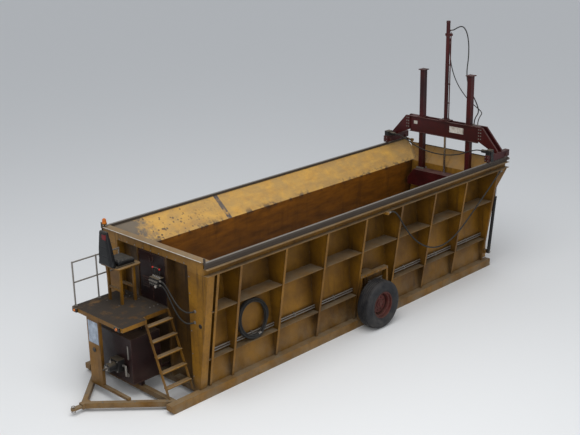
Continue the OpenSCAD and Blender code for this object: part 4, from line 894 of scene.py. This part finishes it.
def makeCushion():
    cx, cy = seat["centre"]
    low, halfDepth, halfWidth = seat["base"], seat["depth"] / 2, seat["width"] / 2 - 0.014
    mesh = bmesh.new()
    verts = addBlock(mesh, (cx - halfDepth, cy - halfWidth, low),
                     (cx + halfDepth - 0.012, cy + halfWidth, low + seat["cushion"] - 0.03))
    for vert in verts:
        if vert.co.z < low + 0.01:
            vert.co.x = cx + (vert.co.x - cx) * 0.95
            vert.co.y = cy + (vert.co.y - cy) * 0.95
        elif vert.co.x < cx:
            vert.co.z -= 0.018
    roundEdges(mesh, list(mesh.edges), 0.03)
    pad = swell("seatCushion", mesh, seat["cushionCap"])

    def seams(co, normal):
        deep = 0.0
        if normal.z > 0.5:
            deep = groove(co.y - cy - 0.085) + groove(co.y - cy + 0.085)
        if abs(normal.z) < 0.7:
            deep += 0.6 * groove(co.z - low - 0.082)
        return deep

    sewPad(pad, seams)
    return pad


def makeBack():
    cx, cy = seat["centre"]
    low, rise, start, half = seat["base"], seat["backRise"], cx + seat["backStart"], seat["backHalf"]
    mesh = bmesh.new()
    verts = addBlock(mesh, (start + 0.006, cy - half, low), (start + 0.125, cy + half, low + rise))
    for vert in verts:
        if vert.co.z > low + 0.1:
            vert.co.x += 0.062 if vert.co.x < start + 0.05 else 0.012
            vert.co.y = cy + (vert.co.y - cy) * 0.5
    upright = [edge for edge in mesh.edges if abs(edge.verts[0].co.z - edge.verts[1].co.z) > 0.3]
    bmesh.ops.subdivide_edges(mesh, edges=upright, cuts=3, use_grid_fill=True)
    for vert in mesh.verts:
        bulge = 0.12 * math.sin(math.pi * (vert.co.z - low) / rise)
        vert.co.y = cy + (vert.co.y - cy) * (1.0 + bulge)
    sharp = [edge for edge in mesh.edges if edge.is_manifold and edge.calc_face_angle() > 0.6]
    roundEdges(mesh, sharp, 0.028)
    pad = swell("seatBack", mesh, seat["backCap"])

    def seams(co, normal):
        if abs(normal.x) <= 0.5:
            return 0.0
        share = (co.z - low) / rise
        inner = half * (1.0 - 0.5 * share) - 0.045
        deep = groove(abs(co.y - cy) - inner)
        if abs(co.y - cy) < inner:
            deep += 0.8 * sum(groove((share - level) * rise) for level in seat["backSeams"])
        return deep

    sewPad(pad, seams)
    return pad


def makeSeat():
    cx, cy = seat["centre"]
    for pad, fill in ((makeCushion(), 0.75), (makeBack(), 0.7)):
        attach(pad, "chassis")
        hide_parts("seat")
    pan = bmesh.new()
    addBlock(pan, (cx - 0.215, cy - 0.235, 2.5605), (cx + 0.3, cy + 0.235, 2.577))
    roundEdges(pan, [edge for edge in pan.edges if abs(edge.verts[0].co.z - edge.verts[1].co.z) > 0.01], 0.04)
    addBolts(pan, (cx - 0.17, cx + 0.22), (cy - 0.19, cy + 0.19), (2.52,), (0, 0, -1), 0.008)
    finishPiece("seatPan", pan, "blackPaint", smooth=35)


makeSeat()

# A pale bent rim runs round the seat's platform

platform = {"half": (0.28, 0.32), "corner": 0.06, "z": 2.556, "thick": 0.013}


def makePlatformRim():
    corner = platform["corner"]
    points = []
    for sx, sy, start in ((1, 1, 0), (-1, 1, 90), (-1, -1, 180), (1, -1, 270)):
        for step in range(0, 91, 15):
            turn = math.radians(start + step)
            points.append((seat["centre"][0] + sx * (platform["half"][0] - corner) + corner * math.cos(turn),
                           seat["centre"][1] + sy * (platform["half"][1] - corner) + corner * math.sin(turn),
                           platform["z"]))
    rim = makeHose("platformRim", points, platform["thick"], "tanPaint")
    rim.data.splines[0].use_cyclic_u = True
    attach(rim, "chassis")


makePlatformRim()
print("seat made")

# Carriage fittings: bare plates with rivets, bolts, roller caps, chain covers and the mast's clamps

carriage = {"x": -5.7875, "front": -5.6680, "back": -5.9070, "web": -5.7045, "high": 3.77, "post": 0.75,
            "truckOut": 1.70, "truckIn": 1.575, "truckMiddle": 1.638, "truckTop": 3.185, "axleZ": 3.07,
            "axles": (-6.1075, -5.4375), "truckEnds": (-6.2375, -5.3075), "motorZ": 3.25, "motorEnd": 1.405,
            "pipeInlet": -5.8695, "pipeElbow": -5.8825}


def addPlate(mesh, low, high, outward, rivet=0.006):
    low, high, out = Vector(low), Vector(high), Vector(outward)
    addBlock(mesh, low, high)
    flat = [axis for axis in range(3) if abs(out[axis]) < 0.5]
    normal = next(axis for axis in range(3) if abs(out[axis]) >= 0.5)
    for insets in product((0.03, -0.03), repeat=2):
        spot = Vector()
        for axis, inset in zip(flat, insets):
            spot[axis] = (low if inset > 0 else high)[axis] + inset * 0.7
        spot[normal] = (high if out[normal] > 0 else low)[normal]
        addStack(mesh, spot, out, (-0.002, rivet * 0.5, rivet, 10, rivet * 0.6))


def makeCarriagePlates():
    front = carriage["web"]
    plates = bmesh.new()
    addPlate(plates, (front, 0.19, 3.50), (front + 0.004, 0.63, 3.665), alongX)
    addPlate(plates, (front, -0.98, 3.56), (front + 0.004, -0.86, 3.65), alongX, 0.004)
    finishPiece("bridgePlates", plates, "whitePlate", "carriage", bevel=0.0012)


def makeCarriageBolts():
    mesh = bmesh.new()
    x = carriage["x"]
    for side in (-1, 1):
        heads = (side * 1.13, side * 1.19), (3.47, 3.55, 3.63, 3.71)  # the legs' heads
        addBolts(mesh, (carriage["front"],), *heads, alongX, 0.013)
        addBolts(mesh, (carriage["back"],), *heads, (-1, 0, 0), 0.013)
        for end in carriage["truckEnds"]:  # trucks' end plates
            toward = -1 if end < x else 1
            addBolts(mesh, (end + toward * 0.006,), (side * 1.60, side * 1.675), (3.06, 3.14),
                     (toward, 0, 0), 0.009)
        addBolts(mesh, [x + dx for dx in (-0.23, -0.16, 0.16, 0.23)], (side * carriage["truckMiddle"],),
                 (carriage["truckTop"],), alongZ, 0.01)
    for dx, dy in ((0.085, 0), (-0.085, 0), (0, 0.085), (0, -0.085)):
        addBolt(mesh, (x + dx, dy, 3.815), alongZ, 0.01)
    finishPiece("carriageBolts", mesh, "wornSteel", "carriage")


def makeTruckParts():
    mesh, caps = bmesh.new(), bmesh.new()
    outer, inner = carriage["truckOut"], carriage["truckIn"]
    for side in (-1, 1):
        for end in carriage["truckEnds"]:  # closing plates at the trucks' ends
            toward = -1 if end < carriage["x"] else 1
            addBlock(mesh, (end, side * (inner + 0.001), 3.022),
                     (end + toward * 0.006, side * (outer - 0.001), 3.183))
        for axle, (y, out) in product(carriage["axles"], ((outer, 1), (inner, -1))):
            if out > 0 and axle == carriage["axles"][1]:  # the chain cover is here
                continue
            face, along = side * y, side * out
            addBlock(mesh, (axle - 0.055, face, 3.025), (axle + 0.055, face + along * 0.012, 3.125))
            addStack(mesh, (axle, face, carriage["axleZ"]), (0, along, 0), (0.0, 0.022, 0.034, 24),
                     (0.02, 0.028, 0.016, 12))
            addBolts(mesh, (axle - 0.04, axle + 0.04), (face + along * 0.011,), (3.038, 3.108),
                     (0, along, 0), 0.006)
        addStack(caps, (-6.2445, side * carriage["truckMiddle"], 3.1), (-1, 0, 0), (0.0, 0.0175, 0.042, 20),
                 (0.017, 0.0275, 0.03, 20, 0.02))
    finishPiece("truckHousings", mesh, "redPaint", "carriage", bevel=0.0015)
    finishPiece("truckLamps", caps, "redLens", "carriage")  # on both trucks' rear ends


def makeDriveParts():
    mesh = bmesh.new()
    x, z, outer = carriage["axles"][1], carriage["motorZ"], carriage["truckOut"]
    for side in (-1, 1):
        y = side * carriage["truckIn"]
        addStack(mesh, (x, y, z), (0, -side, 0), (0.0, 0.02, 0.062, 24))  # flange, end cover, hose nut
        addStack(mesh, (x, side * carriage["motorEnd"], z), (0, -side, 0), (-0.012, 0.004, 0.038, 20),
                 (0.0, 0.035, 0.021, 6))
        for dx, dz in circle(4, 0.048, 0.5):
            addBolt(mesh, (x + dx, y - side * 0.02, z + dz), (0, -side, 0), 0.007)
        addBlock(mesh, (x + 0.09, y, 3.19), (x + 0.096, side * 1.695, 3.31))
        addBlock(mesh, (x - 0.055, side * outer, 3.04), (x + 0.055, side * (outer + 0.016), 3.29))
        for height, radius in ((z, 0.05), (carriage["axleZ"], 0.062)):
            addStack(mesh, (x, side * outer, height), (0, side, 0), (0.0, 0.022, radius, 24))
    finishPiece("driveCovers", mesh, "blackPaint", "carriage", bevel=0.002)


def makeMastParts():
    mesh, nuts = bmesh.new(), bmesh.new()
    x, high = carriage["x"], carriage["high"]
    for z in (4.25, 4.75, 5.25):  # straps that hold the pipe to the barrel
        addBand(mesh, (x, 0, z), alongZ, 0.0485, 0.0535, 0.026)
        addBlock(mesh, (x - 0.011, 0.046, z - 0.013), (x + 0.011, 0.112, z + 0.013))
        addBolt(mesh, (x + 0.011, 0.07, z), alongX, 0.007)
    for z in (6.345, 5.99):
        addBand(mesh, (x, 0, z), alongZ, 0.0485, 0.056, 0.02)
    for toward in (1, -1):
        addBolts(mesh, (x + toward * 0.04,), (-0.05, 0.075), (6.03,), (toward, 0, 0), 0.009)
    finishPiece("mastStraps", mesh, "redPaint", "carriage", bevel=0.0015)
    addStack(nuts, (carriage["pipeInlet"], 0, 6.12), (-1, 0, 0), (0.0, 0.0355, 0.024, 6),
             (0.0355, 0.0805, 0.0185, 16))
    addStack(nuts, (carriage["pipeElbow"], 0, 5.852), (0, 0, -1), (0.0, 0.032, 0.0195, 6),
             (0.032, 0.072, 0.0155, 16))
    for y, r in ((0.9, 0.0185), (1.01, 0.0155)):
        addStack(nuts, (x, y, high), alongZ, (0.0, 0.03, r * 1.3, 6), (0.03, 0.07, r, 16),
                 (-0.001, 0.006, r * 1.9, 20))
    finishPiece("mastFittings", nuts, "bareSteel", "carriage")


def makePostCaps():
    mesh = bmesh.new()
    x = carriage["x"]
    for y in (-carriage["post"], carriage["post"]):
        addBolts(mesh, (x - 0.08, x + 0.08), (y - 0.08, y + 0.08), (5.058,), alongZ, 0.009)
        for dx in (-0.075, 0.075):  # foot brackets of the posts
            addBlock(mesh, (x + dx - 0.006, y - 0.12, 2.341), (x + dx + 0.006, y + 0.12, 2.385))
    finishPiece("postBolts", mesh, "wornSteel", "tramper")


for make in (makeCarriagePlates, makeCarriageBolts, makeTruckParts, makeDriveParts, makeMastParts,
             makePostCaps):
    make()
print("carriage dressed")

# Deck end: plate, lamps, cabinet and valve fittings, tank and pump fittings, ladder nosings, rail flanges

deck = {"edge": 5.4025, "top": 1.75, "postFace": 5.3825, "doorFace": 4.1225, "columnFace": 4.1325,
        "beacon": (4.10, -1.585, 2.99), "lamps": ((0.40, 0.56), (-1.0, -0.86)), "hinges": (1.86, 2.28, 2.70),
        "bankFace": 4.2825, "bankTop": 2.36, "leverX": 4.2025, "levers": 5, "leverFirst": 0.125,
        "leverPitch": 0.0525, "gauge": (0.33, 2.215), "railY": -1.01, "railX": (5.3425, 4.7675, 4.1925),
        "treads": 5, "treadFirst": 0.374, "treadPitch": 0.2953, "footY": 1.12, "slope": 0.4153}
tank = {"low": (4.3325, -0.72, 0.33), "high": (5.0525, 0.38, 1.31), "neck": (4.5325, -0.47), "lip": 0.006,
        "pumpZ": 0.70, "pumpFace": 5.4025, "suction": (0.13, 0.22)}


def makeDeckPlate():
    plate, mark = bmesh.new(), bmesh.new()
    x = deck["postFace"]
    addPlate(plate, (x, -0.565, 1.12), (x + 0.003, -0.235, 1.60), alongX)
    finishPiece("postPlate", plate, "paleBluePlate", bevel=0.001)
    addStack(mark, (x, -0.40, 0.98), alongX, (0.0, 0.012, 0.05, 28), (0.01, 0.02, 0.032, 28, 0.026))
    addStack(mark, (4.133, 1.44, 1.62), alongX, (0.0, 0.009, 0.045, 24))
    finishPiece("holePlugs", mark, "blackPaint")


def makeLamps():
    housings, amber, ochre = bmesh.new(), bmesh.new(), bmesh.new()
    edge = deck["edge"]
    for low, high in deck["lamps"]:
        addBlock(housings, (edge, low, 1.665), (edge + 0.035, high, 1.745))
        addStack(amber, (edge, (low + high) / 2, 1.705), alongX, (0.033, 0.052, 0.033, 28, 0.027))
    spot = Vector(deck["beacon"])
    addBlock(ochre, spot + Vector((-0.05, -0.05, 0.0)), spot + Vector((0.05, 0.05, 0.006)))
    addStack(ochre, spot, alongZ, (0.0, 0.06, 0.016, 16), (0.055, 0.085, 0.052, 28, 0.058))
    addStack(amber, spot, alongZ, (0.085, 0.155, 0.05, 28, 0.042))
    addBall(amber, spot + Vector((0, 0, 0.15)), 0.0425, 10)
    for y, z in ((0.43, 1.73), (0.53, 1.68)):
        addBolt(housings, (edge + 0.034, y, z), alongX, 0.005)
    finishPiece("lampHousings", housings, "blackPaint", bevel=0.003)
    finishPiece("lampLenses", amber, "amberLens", smooth=40)
    finishPiece("beaconBase", ochre, "ochrePaint", bevel=0.001)


def makeCabinetFittings():
    mesh = bmesh.new()
    x = deck["doorFace"]
    for side in (-1, 1):
        for z in deck["hinges"]:  # hinge barrels at the doors' outer edges
            addStack(mesh, (x + 0.006, side * 0.417, z), alongZ, (-0.035, 0.035, 0.008, 14))
            addBlock(mesh, (x, side * 0.385, z - 0.03), (x + 0.003, side * 0.412, z + 0.03))
        addStack(mesh, (x, side * 0.055, 2.66), alongX, (0.0, 0.022, 0.014, 16))  # turn handle
        addStack(mesh, (x + 0.018, side * 0.055, 2.66), alongZ, (-0.06, 0.06, 0.007, 12))
    for k in range(5):  # louvres in the right door
        z = 2.02 + 0.05 * k
        for vert in addBlock(mesh, (x, -0.33, z), (x + 0.012, -0.12, z + 0.02)):
            if vert.co.z > z + 0.01 and vert.co.x > x + 0.006:
                vert.co.x = x + 0.002
    finishPiece("cabinetFittings", mesh, "tankPaint", bevel=0.0015)


def makeValveFittings():
    mesh, knobs, dial = bmesh.new(), bmesh.new(), bmesh.new()
    x, top, leverX = deck["bankFace"], deck["bankTop"], deck["leverX"]
    for k in range(deck["levers"]):
        y = deck["leverFirst"] + deck["leverPitch"] * k
        addStack(mesh, (x, y, 2.30), alongX, (0.0, 0.028, 0.019, 6))
        addStack(mesh, (x, y, 2.235), alongX, (0.0, 0.018, 0.015, 6))
        addStack(mesh, (leverX, y, top), alongZ, (0.0, 0.018, 0.021, 20, 0.016),  # boot under each lever
                 (0.018, 0.036, 0.016, 20, 0.011))
        addBlock(mesh, (x - 0.15, y - 0.0265, 2.19), (x + 0.003, y - 0.0245, 2.35))
    for z in (2.32, 2.23):  # hose unions on the bank's side
        addStack(mesh, (4.2425, 0.368, z), alongY, (0.0, 0.024, 0.024, 6), (0.024, 0.062, 0.01888, 16))
    for y, z in ((1.3, 1.90), (1.28, 1.66)):  # unions where they enter the column
        addStack(mesh, (deck["columnFace"], y, z), alongX, (0.0, 0.0075, 0.034, 20),
                 (0.0065, 0.0255, 0.025, 6))
    gauge = Vector((x, *deck["gauge"]))
    addStack(mesh, gauge, alongX, (0.0, 0.02, 0.007, 10), (0.018, 0.042, 0.031, 28))
    addStack(dial, gauge, alongX, (0.0415, 0.0435, 0.027, 28))
    addBand(dial, gauge + Vector((0.0435, 0, 0)), alongX, 0.0262, 0.029, 0.004, 28)
    addStack(knobs, gauge, alongX, (0.0430, 0.0460, 0.0035, 10))
    tail, tip = Vector((0.0448, 0.003, -0.005)), Vector((0.0448, -0.013, 0.018))
    addRod(knobs, gauge + tail, gauge + tip, 0.0012, 6, 0.0006)
    for y in (0.125, 0.335):
        addBall(knobs, (leverX, y, 2.5505), 0.0206, 10)
    finishPiece("valveFittings", mesh, "bareSteel", bevel=0.0008)
    finishPiece("redKnobs", knobs, "redLens", smooth=35)
    finishPiece("gaugeFace", dial, "whitePlate", smooth=35)


def makeTankFittings():
    mesh, steel = bmesh.new(), bmesh.new()
    low, high = Vector(tank["low"]), Vector(tank["high"])
    nx, ny = tank["neck"]
    addStack(mesh, (nx, ny, 1.398), alongZ, (0.0, 0.032, 0.068, 28, 0.062))  # filler cap with grips
    for dx, dy in circle(6, 0.062):
        addStack(mesh, (nx + dx, ny + dy, 1.40), alongZ, (0.0, 0.028, 0.011, 10))
    # return filter and breather
    addStack(mesh, (4.85, -0.1, 1.309), alongZ, (0.0, 0.091, 0.045, 24), (0.091, 0.111, 0.056, 24))
    addStack(mesh, (4.6, 0.15, 1.309), alongZ, (0.0, 0.051, 0.022, 20), (0.046, 0.091, 0.034, 20, 0.03))
    for bottom, top in ((high.z - 0.03, high.z + 0.004), (low.z - 0.004, low.z + 0.02)):
        addBlock(mesh, (low.x - tank["lip"], low.y - tank["lip"], bottom),
                 (high.x + tank["lip"], high.y + tank["lip"], top))
    addBlock(steel, (high.x, 0.25, 0.85), (high.x + 0.012, 0.285, 1.15))  # sight gauge
    addStack(steel, (high.x + 0.006, 0.2675, 1.0), alongZ, (-0.13, 0.13, 0.0105, 12))
    addStack(steel, (high.x, -0.55, 0.40), alongX, (0.0, 0.03, 0.022, 6))  # drain plug
    z, face = tank["pumpZ"], tank["pumpFace"]
    addBolts(steel, (5.2225,), (-0.10625, 0.10625), (z - 0.10625, z + 0.10625), alongX, 0.011)
    start, y = tank["suction"]
    pipe = [(5.10, start, z), (5.10, y, z), (5.10, y, 0.50), (high.x, y, 0.50)]  # suction pipe, tank to pump
    for here, there in zip(pipe, pipe[1:]):
        addRod(steel, here, there, 0.024, 18)
    for bend in pipe[1:-1]:
        addBall(steel, bend, 0.024)
    addStack(steel, pipe[-1], alongX, (0.0, 0.012, 0.045, 20))
    addStack(steel, (5.31, 0.0, z), alongZ, (0.09, 0.13, 0.024, 6), (0.125, 0.15, 0.017, 12))  # union, plug
    addStack(steel, (face, 0.0, z), alongX, (0.0, 0.0155, 0.052, 24))
    for dy, dz in circle(6, 0.078, 0.5):
        addBolt(steel, (face, dy, z + dz), alongX, 0.007)
    finishPiece("tankFittings", mesh, "tankPaint", bevel=0.002)
    finishPiece("pumpFittings", steel, "bareSteel")


def makeLadderNosings():
    mesh = bmesh.new()
    for k in range(deck["treads"]):
        z = deck["treadFirst"] + k * deck["treadPitch"]
        y = deck["footY"] - deck["slope"] * (z - 0.185)
        addStack(mesh, (4.1725, y + 0.089, z + 0.026), alongX, (0.0, 0.62, 0.009, 12))
        for row, column in product((0.012, 0.04, 0.066), range(9)):
            addStack(mesh, (4.225 + 0.064 * column, y + row - 0.008, z), alongZ,
                     (0.029, 0.0345, 0.009, 10, 0.0055))
    finishPiece("ladderGrips", mesh, "gatePaint")


def makeRailFittings():
    mesh = bmesh.new()
    y, z = deck["railY"], deck["top"]
    for x in deck["railX"]:
        addStack(mesh, (x, y, z), alongZ, (0.0, 0.008, 0.042, 24))
        for dx, dy in ((0.029, 0), (-0.029, 0), (0, 0.029)):
            addBolt(mesh, (x + dx, y + dy, z + 0.006), alongZ, 0.005)
        for height in (2.25, 2.684):
            addBall(mesh, (x, y, height), 0.0195)
    finishPiece("railFittings", mesh, "bareSteel", smooth=40)


def makeBandTrim():
    pale, bolts = bmesh.new(), bmesh.new()
    x = deck["columnFace"]
    addBlock(pale, (4.138, -1.565, 2.99), (4.156, 1.565, 2.997))
    for k in range(13):
        addStack(pale, (4.147, 0.25 * k - 1.5, 2.99), alongZ, (0.0065, 0.0085, 0.0055, 10, 0.004))
    finishPiece("bandTrim", pale, "whitePlate", bevel=0.002)
    addBolts(bolts, (x,), [-1.04 + 0.26 * k for k in range(9)], (2.85,), alongX, 0.011)
    addBolts(bolts, (x,), (-1.165, 1.165), (0.45, 0.95, 1.45, 2.25, 2.6), alongX, 0.01)
    addBolts(bolts, (x + 0.06, x + 0.16, x + 0.26), (-0.6, 0.2), (deck["top"],), alongZ, 0.009)  # deck
    addBolts(bolts, (4.252, 4.753), (-0.755, -0.345), (deck["top"],), alongZ, 0.008)  # pedestal feet
    for side, x in product((-1, 1), (4.85, 5.3, 5.75)):  # tongue
        addBolt(bolts, (x, side * (1.21 - (x - 4.802) * 0.98), 0.185), alongZ, 0.012)
    finishPiece("frontBolts", bolts, "wornSteel")


def makeHitchParts():
    mesh = bmesh.new()
    for z in (0.186, 0.074):
        addBead(mesh, (6.2475, 0, z), alongZ, 0.036, 0.008, 40)
    finishPiece("hitchBeads", mesh, "wornSteel", smooth=35)


for make in (makeDeckPlate, makeLamps, makeCabinetFittings, makeValveFittings, makeTankFittings,
             makeLadderNosings, makeRailFittings, makeBandTrim, makeHitchParts):
    make()
print("deck end dressed")

# Walls: stitch welds along the ribs, pipe clamps, hose unions, bolts on the wheel arches

walls = {"ribs": [-4.3775 + 1.27 * k for k in range(7)] + [3.8525], "lowY": 1.278, "lowZ": 0.19,
         "lean": 0.0649, "weldLength": 0.07, "weldPitch": 0.155, "weldRadius": 0.0045,
         "weldFrom": 0.24, "weldTo": 2.4,
         "shelves": ((0.74, 1.0), (1.84, 1.92)), "web": 0.008, "pipes": (0.885, 0.939),
         "pipeEnds": (-5.7075, 3.9525),
         "pipeY": 1.278, "pipeRadius": 0.015, "hoseEnds": ((-1.2478, -1), (-5.8472, 1)), "archY": 1.505,
         "hinge": (-6.2625, 1.66, 2.93), "cylinderPin": (-5.7875, 1.50, 0.45)}


def wallY(z):
    return walls["lowY"] - walls["lean"] * (z - walls["lowZ"])


def makeWelds():
    mesh = bmesh.new()
    for side, x, face in product((-1, 1), walls["ribs"], (-1, 1)):
        at = x + face * walls["web"]
        z = walls["weldFrom"]
        while z < walls["weldTo"]:
            top = z + walls["weldLength"]
            if not any(low < top and z < high for low, high in walls["shelves"]):
                addRod(mesh, (at, side * (wallY(z) + 0.002), z), (at, side * (wallY(top) + 0.002), top),
                       walls["weldRadius"], 6)
            z += walls["weldPitch"]
    finishPiece("stitchWelds", mesh, "ochrePaint", smooth=50)


def makePipeClamps():
    mesh = bmesh.new()
    low, high = walls["pipes"]
    out = walls["pipeY"] + walls["pipeRadius"]
    bars = ((out - 0.0005, low - 0.022, high + 0.022), (wallY(low) - 0.002, low - 0.022, low - 0.018),
            (wallY(high) - 0.002, high + 0.018, high + 0.022))
    for side in (-1, 1):
        for x in [-5.05] + [rib + 0.635 for rib in walls["ribs"][:-2]]:
            for y, bottom, top in bars:
                addBlock(mesh, (x - 0.016, side * y, bottom), (x + 0.016, side * (out + 0.0035), top))
            addBolt(mesh, (x, side * (out + 0.003), (low + high) / 2), (0, side, 0), 0.006)
        for end, z in product(walls["pipeEnds"], walls["pipes"]):
            toward = 1 if end < 0 else -1
            addStack(mesh, (end, side * walls["pipeY"], z), (toward, 0, 0), (0.0, 0.02, 0.022, 6))
    finishPiece("pipeClamps", mesh, "bareSteel")


def makeWallFittings():
    mesh = bmesh.new()
    for start, toward in walls["hoseEnds"]:  # unions of the long hose
        addStack(mesh, (start, 1.762, 2.7), (toward, 0, 0), (0.0, 0.032, 0.026, 6), (0.032, 0.08, 0.0205, 18))
    hinge, pin = walls["hinge"], walls["cylinderPin"]
    for side in (-1, 1):
        for xs, size in (((-1.5475, -0.6275), 0.01), ((-1.36, -1.22, -0.80, -0.70), 0.008)):
            addBolts(mesh, xs, (side * walls["archY"],), (1.24,), (0, side, 0), size)
        addStack(mesh, (hinge[0], side * hinge[1], hinge[2]), (0, side, 0), (0.0, 0.007, 0.04, 28),
                 (0.007, 0.03, 0.032, 6), (0.03, 0.04, 0.018, 16))
        addStack(mesh, (pin[0], side * pin[1], pin[2]), (0, side, 0), (0.0, 0.051, 0.0175, 20),
                 (0.0435, 0.049, 0.03, 24))
    finishPiece("wallFittings", mesh, "wornSteel")


# Tailgate: the flap's sewn-on seam bars, its top rod, and the lift cylinders' glands and ports

gate = {"foot": (-5.8625, 0.0, 2.488), "run": (-0.672, 0.0, 0.741), "base": (-5.7875, 1.5, 0.45),
        "axis": (-0.1392, 0.0, 0.9903), "barrel": 1.505, "seams": (0.0, -0.62, 0.62), "seamAt": 0.27,
        "seamHalf": (0.24, 0.015, 0.0025), "edgeAt": 0.533, "edgeHalf": 1.2,
        "collars": (-1.195, -0.62, 0.0, 0.62, 1.195)}


def makeGateTrim():
    mesh, dark = bmesh.new(), bmesh.new()
    foot, run, half = Vector(gate["foot"]), Vector(gate["run"]), Vector(gate["seamHalf"])
    normal = Vector((run.z, 0, -run.x))
    turn = Matrix((run, Vector(alongY), normal)).transposed().to_4x4()
    for y in gate["seams"]:
        centre = foot + run * gate["seamAt"] + normal * 0.002 + Vector((0, y, 0))
        addBlock(mesh, centre - half, centre + half, turn)
    edge = foot + run * gate["edgeAt"]
    addStack(dark, edge, alongY, (-gate["edgeHalf"], gate["edgeHalf"], 0.011, 14))
    for y in gate["collars"]:
        addBand(dark, edge + Vector((0, y, 0)), alongY, 0.010, 0.0135, 0.02, 16)
    finishPiece("flapSeams", mesh, "gatePaint", "gate", bevel=0.0015)
    finishPiece("flapEdge", dark, "blackPaint", "gate", smooth=40)


def makeCylinderParts():
    axis, barrel = Vector(gate["axis"]), gate["barrel"]
    across = Vector((-axis.z, 0, axis.x))
    for side, label in ((1, "left"), (-1, "right")):
        base = Vector(gate["base"]) * Vector((1, side, 1))
        mesh, steel = bmesh.new(), bmesh.new()
        addStack(mesh, base, axis, (barrel - 0.055, barrel - 0.006, 0.0465, 32), (0.09, 0.12, 0.0455, 32))
        for along in (0.15, barrel - 0.1):
            addStack(steel, base + axis * along, across, (0.0, 0.058, 0.017, 18), (0.056, 0.074, 0.014, 6))
        finishPiece("gland" + label.capitalize(), mesh, "blackPaint", "gate_barrel_" + label)
        finishPiece("ports" + label.capitalize(), steel, "bareSteel", "gate_barrel_" + label)


for make in (makeWelds, makePipeClamps, makeWallFittings, makeGateTrim, makeCylinderParts):
    make()
print("walls and tailgate dressed")

# Light, floor and finish

light = {"sky": (0.82, 0.86, 0.92, 1.0), "skyPower": 0.62, "seen": (0.86, 0.86, 0.85, 1.0),
         "aim": (0, 0, 1.5),
         "lamps": (("overhead", (5.0, 4.0, 16.0), 14.0, 1500.0), ("side", (12.0, 18.0, 9.0), 9.0, 900.0)),
         "floor": (0.8, 0.8, 0.79, 1.0), "floorSize": 150.0}


def lightScene():
    scene.world = bpy.data.worlds.new("studio")
    scene.world.use_nodes = True
    tree = scene.world.node_tree
    sky = tree.nodes["Background"]
    sky.inputs["Color"].default_value = light["sky"]
    sky.inputs["Strength"].default_value = light["skyPower"]
    seen = addNode(tree, "Background", {"Color": light["seen"], "Strength": 1.0})
    path = addNode(tree, "LightPath").outputs
    plain = compute("MAXIMUM", path["Is Camera Ray"], path["Is Transmission Ray"])
    mix = addNode(tree, "MixShader", {0: plain, 1: sky.outputs[0], 2: seen.outputs[0]})
    tree.links.new(mix.outputs[0], tree.nodes["World Output"].inputs["Surface"])
    for name, place, size, power in light["lamps"]:
        data = bpy.data.lights.new(name, "AREA")
        data.shape = "DISK"
        data.size = size
        data.energy = power
        lamp = addObject(name, data)
        lamp.location = place
        lamp.rotation_euler = (Vector(light["aim"]) - Vector(place)).to_track_quat("-Z", "Y").to_euler()


def layFloor():
    ground = bmesh.new()
    bmesh.ops.create_grid(ground, x_segments=2, y_segments=2, size=light["floorSize"])
    floor = addObject("floor", meshOf("floor", ground))
    shader = newMaterial("paleFloor", light["floor"])
    shader.inputs["Base Color"].default_value = light["floor"]
    shader.inputs["Roughness"].default_value = 0.95
    floor.data.materials.append(materials["paleFloor"])


lightScene()
layFloor()
scene.view_settings.view_transform = "Standard"
print("lit and staged")
